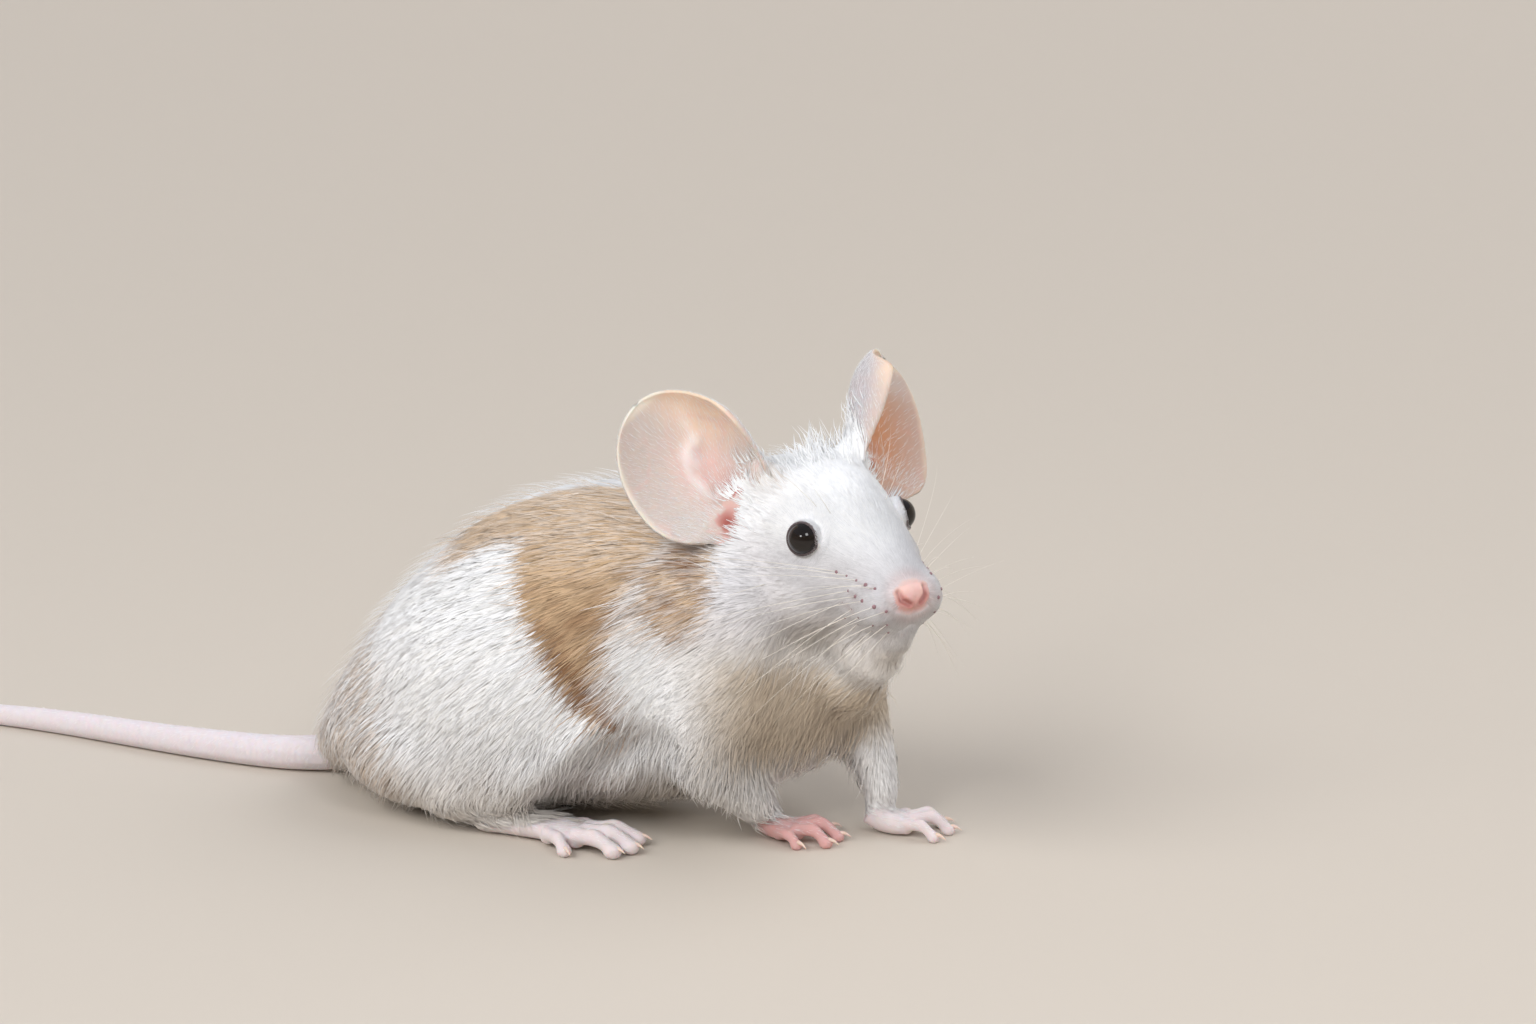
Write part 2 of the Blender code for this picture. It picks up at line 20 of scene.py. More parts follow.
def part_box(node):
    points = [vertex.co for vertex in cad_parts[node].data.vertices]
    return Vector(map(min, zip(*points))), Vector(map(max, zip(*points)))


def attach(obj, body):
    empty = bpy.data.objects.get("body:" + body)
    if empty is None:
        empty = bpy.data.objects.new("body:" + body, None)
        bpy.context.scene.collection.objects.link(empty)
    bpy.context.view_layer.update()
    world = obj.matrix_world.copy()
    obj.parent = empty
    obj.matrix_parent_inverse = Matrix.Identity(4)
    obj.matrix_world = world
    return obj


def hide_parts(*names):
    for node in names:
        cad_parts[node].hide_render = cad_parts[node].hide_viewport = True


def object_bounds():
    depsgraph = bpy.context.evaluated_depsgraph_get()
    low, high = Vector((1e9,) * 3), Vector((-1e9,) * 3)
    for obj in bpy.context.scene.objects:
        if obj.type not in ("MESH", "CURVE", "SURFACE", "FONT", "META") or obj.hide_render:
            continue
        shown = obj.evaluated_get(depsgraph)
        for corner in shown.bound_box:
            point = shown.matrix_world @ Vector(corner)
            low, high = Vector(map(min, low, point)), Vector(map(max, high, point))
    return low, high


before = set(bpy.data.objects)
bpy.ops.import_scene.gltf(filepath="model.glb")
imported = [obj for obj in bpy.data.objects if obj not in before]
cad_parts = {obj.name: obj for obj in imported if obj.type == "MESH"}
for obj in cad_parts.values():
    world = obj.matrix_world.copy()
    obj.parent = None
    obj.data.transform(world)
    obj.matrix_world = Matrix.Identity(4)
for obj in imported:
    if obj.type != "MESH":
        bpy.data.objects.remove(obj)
CAD_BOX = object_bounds()

bl_info = {
    "name": "White and fawn mouse",
    "version": (1, 0, 0),
    "blender": (4, 5, 0),
    "location": "View3D > Sidebar > Mouse",
    "description": "Skin, coat, face, ears and feet of a life-size pet mouse",
    "category": "Object",
}

MM = 0.001

# Nodes that the one skin stands for, with the depth of the coat on each in millimetres.
COAT_DEPTH = {
    "trunk": 1.25, "neck": 1.2, "head": 0.7, "haunch_R": 1.25, "haunch_L": 1.25,
    "foreleg_R": 0.8, "foreleg_L": 0.8, "hind_foot_R": 0.1, "hind_foot_L": 0.1,
    "forepaw_R": 0.1, "forepaw_L": 0.1, "tail_base": 0.0, "tail_middle": 0.0, "tail_tip": 0.0,
}
EARS = ("ear_R", "ear_L")
EYES = ("eye_R", "eye_L")
MELTED = ("trunk", "neck", "head", "haunch_R", "haunch_L", "foreleg_R", "foreleg_L",
          "tail_base", "tail_middle", "tail_tip", *EYES)

# Skin making: swelling that closes the cuts between nodes and melting grids in millimetres,
# triangle counts, and the share of a foot's triangles that stay.
SWELL = 0.2
BODY_GRID = 0.25
FOOT_GRID = 0.2
EVEN_TRIANGLES = 125000
BODY_TRIANGLES = 70000
FOOT_SHARE = 0.42

# Ears: root, lengthwise direction, the way the scoop opens, how much the roll of the front
# edge eases towards the tip, and how much wider it is near the root, in millimetres.
EAR_FRAMES = {
    "ear_R": ((-11.0, -8.8, 1.8), (-8.35, -6.67, 11.9), (0.80, -0.54, 0.26), 0.6, 0.0),
    "ear_L": ((-11.0, 9.8, 1.6), (-9.2, 7.6, 10.6), (0.82, 0.50, 0.26), 0.35, 1.6),
}
EAR_HALF_LENGTH = 8.1
EAR_MIDDLE = 7.6
EAR_WIDEST = -0.3
EAR_REAR_WIDTH = 8.2
EAR_REAR_CUP = 3.0
EAR_FLAT_WIDTH = 3.0
EAR_ROLL_RADIUS = 4.4
EAR_ROLL_ANGLE = 112.0
EAR_ROLL_START = 0.3
EAR_ROOT_WIDTH = 0.68
EAR_TIP_LEAN = 1.4
EAR_THICK_ROOT = 0.6
EAR_THICK_RIM = 0.34
EAR_STEPS = 50
EAR_SINK = 0.42
EAR_HEART = (-8.0, 1.5, -4.0)

# Fat of the throat and the ears' furry roots, added to the solids' flesh: place and half
# sizes in head millimetres.
SOFT_PARTS = (
    ((1.8, 0.0, -14.0), (5.2, 4.4, 4.6)),
    ((-1.2, 0.0, -18.0), (4.8, 5.0, 5.4)),
    ((5.4, 0.0, -11.8), (4.2, 3.0, 2.6)),
    ((-8.6, 6.0, 5.2), (3.0, 2.6, 3.3)),
    ((-8.6, -6.0, 5.2), (3.0, 2.6, 3.3)),
)

# Feet: rows of a sole are ahead, left, up, half width, half height; a toe is its root, knuckle,
# tip and radius; a leg's end has rows of ahead, left, up, radius.
HIND_SOLE = (
    (-0.8, 0.0, 1.9, 0.9, 1.0),
    (0.5, 0.0, 1.6, 1.7, 1.7),
    (3.5, 0.0, 1.5, 1.8, 1.5),
    (8.0, 0.1, 1.45, 2.1, 1.4),
    (11.5, 0.2, 1.35, 2.8, 1.3),
    (14.0, 0.3, 1.2, 2.5, 1.0),
)
HIND_TOES = (
    ((9.6, -1.9, 1.5), (11.8, -3.4, 1.7), (13.0, -4.3, 0.8), 0.85),
    ((13.0, -1.6, 1.6), (16.0, -2.3, 2.0), (18.3, -2.6, 1.0), 1.05),
    ((13.6, -0.2, 1.7), (17.0, -0.4, 2.2), (19.6, -0.5, 1.0), 1.0),
    ((13.4, 1.2, 1.6), (16.6, 1.7, 2.1), (19.2, 2.2, 1.0), 0.95),
    ((10.0, 2.0, 1.4), (11.9, 3.1, 1.4), (13.2, 3.9, 0.8), 0.8),
)
HIND_ANKLE = ((-0.2, 0.0, 1.8, 1.5), (1.6, -0.2, 3.6, 2.0), (4.6, -0.4, 6.4, 2.8))
FORE_SOLE = (
    (-0.6, 0.0, 2.6, 1.6, 1.6),
    (1.0, 0.0, 1.6, 1.8, 1.5),
    (2.8, 0.0, 1.15, 2.1, 1.25),
    (4.2, 0.0, 1.1, 1.9, 1.0),
)
FORE_TOES = (
    ((1.8, -1.5, 1.4), (3.4, -2.8, 1.4), (4.3, -3.4, 0.6), 0.7),
    ((3.8, -1.2, 1.5), (6.0, -1.9, 1.9), (7.5, -2.2, 0.7), 0.8),
    ((4.0, 0.0, 1.6), (6.6, 0.1, 2.1), (8.4, 0.2, 0.7), 0.8),
    ((3.4, 1.3, 1.4), (5.4, 2.2, 1.7), (6.9, 2.9, 0.65), 0.75),
)
RIGHT_WRIST = ((0.4, 0.0, 1.9, 1.6), (-0.9, 0.2, 4.2, 1.7), (-2.6, 0.6, 7.4, 2.2))
LEFT_WRIST = ((0.4, 0.0, 1.9, 1.6), (0.5, -0.9, 4.2, 1.5), (0.35, -2.2, 6.6, 1.5))
# Each foot: node, sole, toes, leg's end, turn in degrees, heel from the low corner of its box.
FEET = (
    ("hind_foot_R", HIND_SOLE, HIND_TOES, HIND_ANKLE, 0.0, (1.02, 5.32)),
    ("hind_foot_L", HIND_SOLE, HIND_TOES, HIND_ANKLE, 0.0, (1.02, 5.07)),
    ("forepaw_R", FORE_SOLE, FORE_TOES, RIGHT_WRIST, 12.0, (1.47, 3.21)),
    ("forepaw_L", FORE_SOLE, FORE_TOES, LEFT_WRIST, 18.0, (1.47, 1.76)),
)
CLAW_LENGTH = 1.35
CLAW_RADIUS = 0.27

# Nose, mouth, ear canal and eyes, in head millimetres on the left side; an eye's opening is
# the angle in degrees from its axis to the lids.
NOSE = (11.9, 0.0, -5.45)
NOSTRIL = ((11.3, 1.75, -4.6), (11.6, 1.55, -5.5), (11.9, 0.75, -6.1))
CANAL = (-9.4, 10.4, 0.6)
WHISKER_PAD = (9.6, 3.2, -7.2)
PHILTRUM = ((12.1, 0.0, -6.4), (11.2, 0.0, -9.0))
MOUTH = ((11.0, 0.0, -9.2), (9.2, 1.7, -9.9), (6.2, 3.4, -10.4))
EYE_RADIUS = 1.98
EYE_AXIS = (0.45, 0.86, 0.24)
EYE_OPENING = 63.0


def smooth(low, high, value):
    """Eases from 0 at low to 1 at high; low may be the larger."""
    t = np.clip((value - low) / (high - low), 0.0, 1.0)
    return t * t * (3.0 - 2.0 * t)


def blob(distance, size):
    """1 at no distance, falling away over about size."""
    return np.exp(-(distance / size) ** 2)


def unit(vectors):
    return vectors / np.maximum(np.linalg.norm(vectors, axis=-1, keepdims=True), 1e-12)


def dots(a, b):
    return np.einsum("ij,ij->i", a, b)


def ripple(points, size, seed):
    """Smooth noise of about -1 to 1 over points, with features about size across."""
    draw = np.random.default_rng(seed)
    total = np.zeros(len(points))
    for _ in range(7):
        way = unit(draw.normal(size=3)) * draw.uniform(0.6, 1.5)
        total += np.sin(points @ way * (2 * pi / size) + draw.uniform(0, 2 * pi))
    return total / 3.0


def centre_of(node):
    low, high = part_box(node)
    return (low + high) / 2


def head_frame():
    """Head axes from the places of the eyes: ahead, left and up, in millimetres."""
    right, left = centre_of("eye_R"), centre_of("eye_L")
    leftward = (left - right).normalized()
    ahead = leftward.cross(Vector((0, 0, 1))).normalized()
    turn = Matrix((ahead, leftward, ahead.cross(leftward))).transposed().to_4x4()
    return Matrix.Translation((left + right) / 2) @ turn @ Matrix.Scale(MM, 4)


HEAD = head_frame()


def into(matrix, points):
    """Points in the millimetre axes of a frame."""
    inverse = np.array(matrix.inverted())
    return points @ inverse[:3, :3].T + inverse[:3, 3]


def out_of(matrix, points):
    """Points of a frame's millimetre axes in the model's metres."""
    forward = np.array(matrix)
    return points @ forward[:3, :3].T + forward[:3, 3]


def turned(matrix, ways):
    """Directions of a frame in the model's axes."""
    return unit(np.asarray(ways, float) @ np.array(matrix)[:3, :3].T)


def segment_distance(points, start, end):
    start, end = np.array(start, float), np.array(end, float)
    along = end - start
    t = np.clip((points - start) @ along / (along @ along), 0, 1)
    return np.linalg.norm(points - start - t[:, None] * along, axis=1)


def path_distance(points, path):
    return np.min([segment_distance(points, a, b) for a, b in zip(path, path[1:])], axis=0)


def span(points, place, stretch=1.0):
    """How far each point is from a place, with the axes stretched."""
    return np.linalg.norm((points - np.array(place)) / np.array(stretch), axis=1)


def folded(local):
    """Places on the head with the right side folded onto the left."""
    return np.abs(local * (0, 1, 0)) + local * (1, 0, 1)


def along_skin(ways, normals):
    """Directions laid flat on the skin."""
    return unit(ways - normals * dots(ways, normals)[:, None])


def read(items, field, width, kind=np.float32):
    """A field of a mesh's corners, edges or triangles as rows of numbers."""
    flat = np.empty(len(items) * width, kind)
    items.foreach_get(field, flat)
    return flat.reshape(-1, width)


def points_of(mesh):
    return read(mesh.vertices, "co", 3).astype(float)


def set_points(mesh, points):
    mesh.vertices.foreach_set("co", points.astype(np.float32).ravel())
    mesh.update()


def normals_of(mesh):
    return read(mesh.vertex_normals, "vector", 3).astype(float)


def edges_of(mesh):
    return read(mesh.edges, "vertices", 2, np.int32)


def relax(values, edges, strength, rounds):
    """Draws each point, or other value, towards the mean of its neighbours."""
    count = len(values)
    ends = np.concatenate((edges[:, 0], edges[:, 1]))
    others = np.concatenate((edges[:, 1], edges[:, 0]))
    links = np.maximum(np.bincount(ends, minlength=count), 1)
    flat = values.reshape(count, -1)
    for _ in range(rounds):
        mean = np.stack([np.bincount(ends, flat[others, k], count) for k in range(flat.shape[1])], 1)
        flat = flat + (mean / links[:, None] - flat) * np.reshape(strength, (-1, 1))
    return flat.reshape(values.shape)


ATTRIBUTE_FIELDS = {"FLOAT": ("value", 1), "FLOAT_VECTOR": ("vector", 3), "FLOAT_COLOR": ("color", 4)}


def write_attribute(mesh, name, kind, values):
    made = mesh.attributes.new(name, kind, "POINT")
    field, _ = ATTRIBUTE_FIELDS[kind]
    made.data.foreach_set(field, np.ascontiguousarray(values, np.float32).ravel())


def read_attribute(mesh, name):
    made = mesh.attributes[name]
    values = read(made.data, *ATTRIBUTE_FIELDS[made.data_type]).astype(float)
    return values if values.shape[1] > 1 else values[:, 0]


def new_object(name, mesh):
    made = bpy.data.objects.new(name, mesh)
    bpy.context.scene.collection.objects.link(made)
    return made


def object_from(bm, name):
    mesh = bpy.data.meshes.new(name)
    bm.to_mesh(mesh)
    bm.free()
    return new_object(name, mesh)


def drop(item):
    bpy.data.objects.remove(item, do_unlink=True)


def apply_modifiers(item):
    evaluated = item.evaluated_get(bpy.context.evaluated_depsgraph_get())
    mesh = bpy.data.meshes.new_from_object(evaluated)
    item.modifiers.clear()
    item.data = mesh


def melt(item, grid):
    step = item.modifiers.new("melt", "REMESH")
    step.mode = "VOXEL"
    step.voxel_size = grid * MM
    apply_modifiers(item)


def declare(item, slot, *nodes):
    """Hangs a piece on the root body and hides the nodes that it stands for; its slot is not used."""
    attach(item, "root")
    if nodes:
        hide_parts(*nodes)


def eased(rows, steps):
    """Rows of numbers with smooth in-between rows, by Catmull-Rom."""
    padded = [rows[0], *rows, rows[-1]]
    result = []
    for a, b, c, d in zip(padded, padded[1:], padded[2:], padded[3:]):
        for step in range(steps):
            t = step / steps
            result.append(tuple(
                0.5 * (2 * q + (r - p) * t + (2 * p - 5 * q + 4 * r - s) * t * t
                       + (3 * q - p - 3 * r + s) * t * t * t)
                for p, q, r, s in zip(a, b, c, d)))
    result.append(rows[-1])
    return result


def add_tube(bm, rows, segments, place, steps=1):
    """A closed limb, toe or claw: rows of x, y, z, then one or two radii."""
    rows = eased(rows, steps)
    previous = None
    for number, row in enumerate(rows):
        before = Vector(rows[max(number - 1, 0)][:3])
        after = Vector(rows[min(number + 1, len(rows) - 1)][:3])
        ahead = (after - before).normalized()
        side = Vector((0, 0, 1)).cross(ahead)
        if side.length < 0.1:
            side = Vector((0, 1, 0))
        side.normalize()
        turn = Matrix((side * row[3], ahead.cross(side) * row[-1], ahead)).transposed().to_4x4()
        made = bmesh.ops.create_circle(bm, cap_ends=number in (0, len(rows) - 1), segments=segments,
                                       radius=1.0, matrix=place @ Matrix.Translation(row[:3]) @ turn)
        ring = list({edge for vert in made["verts"] for edge in vert.link_edges})
        if previous:
            bmesh.ops.bridge_loops(bm, edges=previous + ring)
        previous = ring


def add_ball(bm, centre, radii, place, segments=14):
    shape = place @ Matrix.Translation(centre) @ Matrix.Diagonal((*radii, 1.0))
    bmesh.ops.create_uvsphere(bm, u_segments=segments, v_segments=segments // 2, radius=1.0,
                              matrix=shape)


def foot_place(node, turn, heel):
    """A foot's own axes: its heel over the floor, turned, in millimetres."""
    low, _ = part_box(node)
    return (Matrix.Translation((low.x + heel[0] * MM, low.y + heel[1] * MM, 0.0))
            @ Matrix.Rotation(radians(turn), 4, "Z") @ Matrix.Scale(MM, 4))


def toes_for(toes, node):
    """The toe tables are a right foot's, and a left foot has them mirrored."""
    side = -1 if node.endswith("L") else 1
    return [(*((x, side * y, z) for x, y, z in toe[:3]), toe[3]) for toe in toes]


def toe_rows(root, knuckle, tip, radius):
    """Rows down a toe: slim by the joints, full at the knuckle and the pad."""
    root, knuckle, tip = Vector(root), Vector(knuckle), Vector(tip)
    bend = knuckle.lerp(tip, 0.55) + Vector((0, 0, 0.12))
    return (
        (*root, radius * 1.1),
        (*root.lerp(knuckle, 0.55), radius * 0.9),
        (*knuckle, radius * 0.98),
        (*bend, radius * 0.8),
        (*tip, radius * 0.88),
    )


def foot_flesh(node, sole, toes, leg, turn, heel):
    """A bare foot: sole with pads, toes with knuckles and full tips, and the leg's end."""
    place = foot_place(node, turn, heel)
    side = 1 if node.endswith("L") else -1
    bm = bmesh.new()
    add_tube(bm, sole, 18, place, steps=3)
    add_tube(bm, [(x, y * -side, z, r) for x, y, z, r in leg], 16, place, steps=3)
    for root, knuckle, tip, radius in toes_for(toes, node):
        add_tube(bm, toe_rows(root, knuckle, tip, radius), 12, place, steps=3)
        for spot, below, size in ((tip, (0.1, 0, -0.12), (1.12, 1.04, 0.92)),
                                  (root, (0.2, 0, -0.5), (1.2, 1.0, 0.9))):
            add_ball(bm, Vector(spot) + Vector(below), [radius * share for share in size], place)
    item = object_from(bm, node + "_flesh")
    melt(item, FOOT_GRID)
    mesh = item.data
    points = relax(points_of(mesh), edges_of(mesh), 0.5, 3)
    points[:, 2] = np.maximum(points[:, 2], 0.0)
    set_points(mesh, points)
    thin(item, FOOT_SHARE * 2 * len(mesh.polygons))
    return item


def ear_frame(name):
    """An ear's own axes: towards its front edge, its tip and its opening."""
    root, lengthwise, opening = (Vector(value) for value in EAR_FRAMES[name][:3])
    side = 1 if root.y > 0 else -1
    lengthwise.normalize()
    opening = (opening - lengthwise * opening.dot(lengthwise)).normalized()
    front = lengthwise.cross(opening) * -side
    turn = Matrix((front, lengthwise, opening)).transposed().to_4x4()
    return HEAD @ Matrix.Translation(root) @ turn


def ear_surface(across, along, ease, wider):
    """Ear surface from a square in -1..1, from rear to front edge and from root to tip."""
    v = np.sin(along * pi / 2)
    chord = np.where(
        v > EAR_WIDEST,
        np.sqrt(np.maximum(0.0, 1 - ((v - EAR_WIDEST) / (1 - EAR_WIDEST)) ** 2)),
        np.sqrt(np.maximum(0.0, 1 - (1 - EAR_ROOT_WIDTH ** 2)
                           * ((EAR_WIDEST - v) / (1 + EAR_WIDEST)) ** 2)))
    most = radians(EAR_ROLL_ANGLE) * (1 - ease * smooth(0.0, 0.95, v))
    radius = (EAR_ROLL_RADIUS + wider * smooth(0.8, -0.2, v)) / np.sin(np.minimum(most, pi / 2))
    roll = most * np.maximum(0.0, across - EAR_ROLL_START) / (1 - EAR_ROLL_START)
    front = EAR_FLAT_WIDTH * np.clip(across / EAR_ROLL_START, 0, 1) + radius * np.sin(roll)
    width = np.where(across < 0, EAR_REAR_WIDTH * across, front)
    rise = np.where(across < 0, EAR_REAR_CUP * across ** 2, radius * (1 - np.cos(roll)))
    return np.stack((chord * width, EAR_MIDDLE + v * EAR_HALF_LENGTH,
                     chord * rise + EAR_TIP_LEAN * v * v), 1)


def ear_relief(local):
    """Folds inside the ear, in millimetres towards the opening."""
    across, along = local[:, 0], local[:, 1]
    hollow = -0.5 * blob(np.hypot(across - 1.0, along - 2.6), 2.2)
    bow = np.hypot((across - 2.2) / 1.1, (along - 4.6) / 1.25) + 0.2 * ripple(local, 3.0, 9)
    ridge = 0.5 * blob(bow - 3.1, 0.6) * smooth(4.0, 1.0, across) * smooth(10.0, 7.5, along)
    inner = 0.42 * blob(np.hypot(across - 0.2, (along - 6.4) / 1.7), 0.75)
    knob = 0.4 * blob(np.hypot(across + 1.0, along - 3.4), 0.9)
    fold = 0.22 * blob(across - 1.6 - 0.25 * (along - 7.0), 0.5) * smooth(6.5, 8.0, along)
    fold *= smooth(13.5, 10.0, along)
    rear = -0.2 * blob(across + 4.2, 1.6) * blob(along - 8.5, 4.0)
    return hollow + ridge + inner + knob + fold + rear


def weigh(item, name, weights):
    """Gives an object's corners their weights in a new group."""
    group = item.vertex_groups.new(name=name)
    for number in np.flatnonzero(weights > 0).tolist():
        group.add([number], float(weights[number]), "REPLACE")


def ear_flesh(name):
    """A thin scoop with a rolled front edge and folds inside, thinner towards its rim."""
    place = ear_frame(name)
    bm = bmesh.new()
    bmesh.ops.create_grid(bm, x_segments=EAR_STEPS, y_segments=EAR_STEPS, size=1.0)
    item = object_from(bm, name + "_flesh")
    mesh = item.data
    square = points_of(mesh)
    local = ear_surface(square[:, 0], square[:, 1], *EAR_FRAMES[name][3:])
    local[:, 2] += ear_relief(local) * smooth(1.0, 0.75, np.abs(square[:, 0]))
    side = -1 if name.endswith("R") else 1
    points = into(HEAD, out_of(place, local))
    sink = np.maximum(smooth(-0.78, -1.0, square[:, 1]),
                      2.0 * smooth(0.25, 1.0, square[:, 0]) * smooth(0.05, -0.7, square[:, 1]))
    heart = np.array((EAR_HEART[0], side * EAR_HEART[1], EAR_HEART[2]))
    points += (heart - points) * (EAR_SINK * sink)[:, None]
    set_points(mesh, out_of(HEAD, points))
    rim = np.maximum(np.abs(square[:, 0]), square[:, 1])
    weigh(item, "thick", 1 - smooth(0.1, 1.0, rim))
    bm = bmesh.new()
    bm.from_mesh(mesh)
    bmesh.ops.remove_doubles(bm, verts=bm.verts, dist=0.02 * MM)
    bmesh.ops.recalc_face_normals(bm, faces=bm.faces)
    bm.to_mesh(mesh)
    bm.free()
    shell = item.modifiers.new("shell", "SOLIDIFY")
    shell.thickness = EAR_THICK_ROOT * MM
    shell.offset = 0.0
    shell.use_even_offset = True
    shell.vertex_group = "thick"
    shell.thickness_vertex_group = EAR_THICK_RIM / EAR_THICK_ROOT
    apply_modifiers(item)
    return item


def body_flesh():
    """The nodes of flesh, with the eyes' places filled, melted into one body."""
    bm = bmesh.new()
    for node in MELTED:
        bm.from_mesh(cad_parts[node].data)
    for centre, radii in SOFT_PARTS:
        add_ball(bm, centre, radii, HEAD, segments=32)
    bmesh.ops.remove_doubles(bm, verts=bm.verts, dist=1e-6)
    bm.normal_update()
    for vert in bm.verts:
        vert.co += vert.normal * SWELL * MM
    item = object_from(bm, "skin")
    melt(item, BODY_GRID)
    return item


def by_node(points, values):
    """For each point the value of the node that it is nearest to."""
    owners = []
    tree = KDTree(sum(len(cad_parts[node].data.vertices) for node in values))
    for node, value in values.items():
        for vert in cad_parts[node].data.vertices:
            tree.insert(vert.co, len(owners))
            owners.append(value)
    tree.balance()
    return np.array([owners[tree.find(point)[1]] for point in points])


def keys_of(points):
    """Places rounded so that they can be looked up."""
    return {tuple(row) for row in np.round(points * 1e7).astype(np.int64)}


def graft(body, part):
    """Unites a closed part with the body and softens the joint between them."""
    known = keys_of(points_of(body.data)) | keys_of(points_of(part.data))
    step = body.modifiers.new("graft", "BOOLEAN")
    step.operation = "UNION"
    step.solver = "MANIFOLD"
    step.object = part
    apply_modifiers(body)
    drop(part)
    mesh = body.data
    points = points_of(mesh)
    rows = np.round(points * 1e7).astype(np.int64)
    seam = np.array([tuple(row) not in known for row in rows], float)
    if not 0 < seam.sum() < 4000:
        raise RuntimeError(f"{part} did not unite with the skin")
    edges = edges_of(mesh)
    near = np.clip(relax(seam, edges, 0.9, 6) * 6, 0, 1)
    set_points(mesh, relax(points, edges, near * 0.5, 12))


def subdivide_near(mesh, centres, reach):
    """Halves the edges of all faces near some places."""
    bm = bmesh.new()
    bm.from_mesh(mesh)
    close = [edge for edge in bm.edges
             if any((edge.verts[0].co - centre).length < reach for centre in centres)]
    bmesh.ops.subdivide_edges(bm, edges=close, cuts=1, use_grid_fill=True)
    bmesh.ops.triangulate(bm, faces=bm.faces)
    bm.to_mesh(mesh)
    bm.free()


def eye_angles(local, side):
    """Angle off an eye's axis in degrees, distance from its middle, and half opening there."""
    centre = np.array(into(HEAD, np.array([centre_of("eye_L" if side > 0 else "eye_R")]))[0])
    axis = unit(np.array((EYE_AXIS[0], side * EYE_AXIS[1], EYE_AXIS[2])))
    front = unit(np.array((1.0, 0.0, 0.0)) - axis * axis[0])
    top = np.cross(axis, front) * -side
    away = local - centre
    distance = np.linalg.norm(away, axis=1)
    way = away / distance[:, None]
    angle = np.degrees(np.arccos(np.clip(way @ axis, -1, 1)))
    round_eye = np.degrees(np.arctan2(way @ top, way @ front))
    front_corner = 6.0 * blob(round_eye + 20.0, 18.0)
    rear_corner = 2.0 * blob(np.abs(round_eye) - 180.0, 30.0)
    return angle, distance, way, centre, EYE_OPENING + front_corner + rear_corner


def open_eyes(points):
    """Wraps the skin round each eyeball as thin lids, and draws it in behind the ball."""
    local = into(HEAD, points)
    for side in (-1, 1):
        angle, distance, way, centre, opening = eye_angles(local, side)
        lid = EYE_RADIUS - 0.5 + 0.58 * smooth(opening - 7, opening - 1, angle)
        lid += 0.07 * blob(angle - opening - 4, 4)
        proud = EYE_RADIUS + 0.12 - 0.7 * smooth(110, 135, angle)
        held = np.maximum(distance, proud)
        keep = smooth(opening + 4, opening + 24, angle)
        moved = centre + way * (lid + (held - lid) * keep)[:, None]
        near = (distance < EYE_RADIUS + 2.5) & (angle < 140)
        local[near] = moved[near]
    return out_of(HEAD, local)


def face_relief(points):
    """Nose pad, nostrils, lip and mouth, in millimetres outwards."""
    half = folded(into(HEAD, points))
    from_nose = span(half, NOSE, (1.0, 1.15, 0.75))
    push = 0.24 * blob(from_nose, 1.5) - 0.1 * blob(from_nose - 2.1, 0.4)
    slit = path_distance(half, NOSTRIL)
    push -= 0.7 * blob(slit, 0.27)
    push += 0.12 * blob(slit - 0.55, 0.28)
    push -= 0.4 * blob(path_distance(half, PHILTRUM), 0.3)
    push += 0.35 * blob(span(half, WHISKER_PAD), 2.2)
    return push - 0.18 * blob(path_distance(half, MOUTH), 0.4)


def ear_parts(points):
    """For each ear the points' places in its own axes, and which of them belong to it."""
    owner = by_node(points, {node: node for node in (*COAT_DEPTH, *EARS)})
    return [(name, into(ear_frame(name), points), owner == name) for name in EARS]


def srgb(colour):
    """Linear light of a display colour."""
    value = np.asarray(colour, float)
    return np.where(value <= 0.04045, value / 12.92, ((value + 0.055) / 1.055) ** 2.4)


def mixed(a, b, share):
    return a + (b - a) * np.reshape(share, (-1, 1))


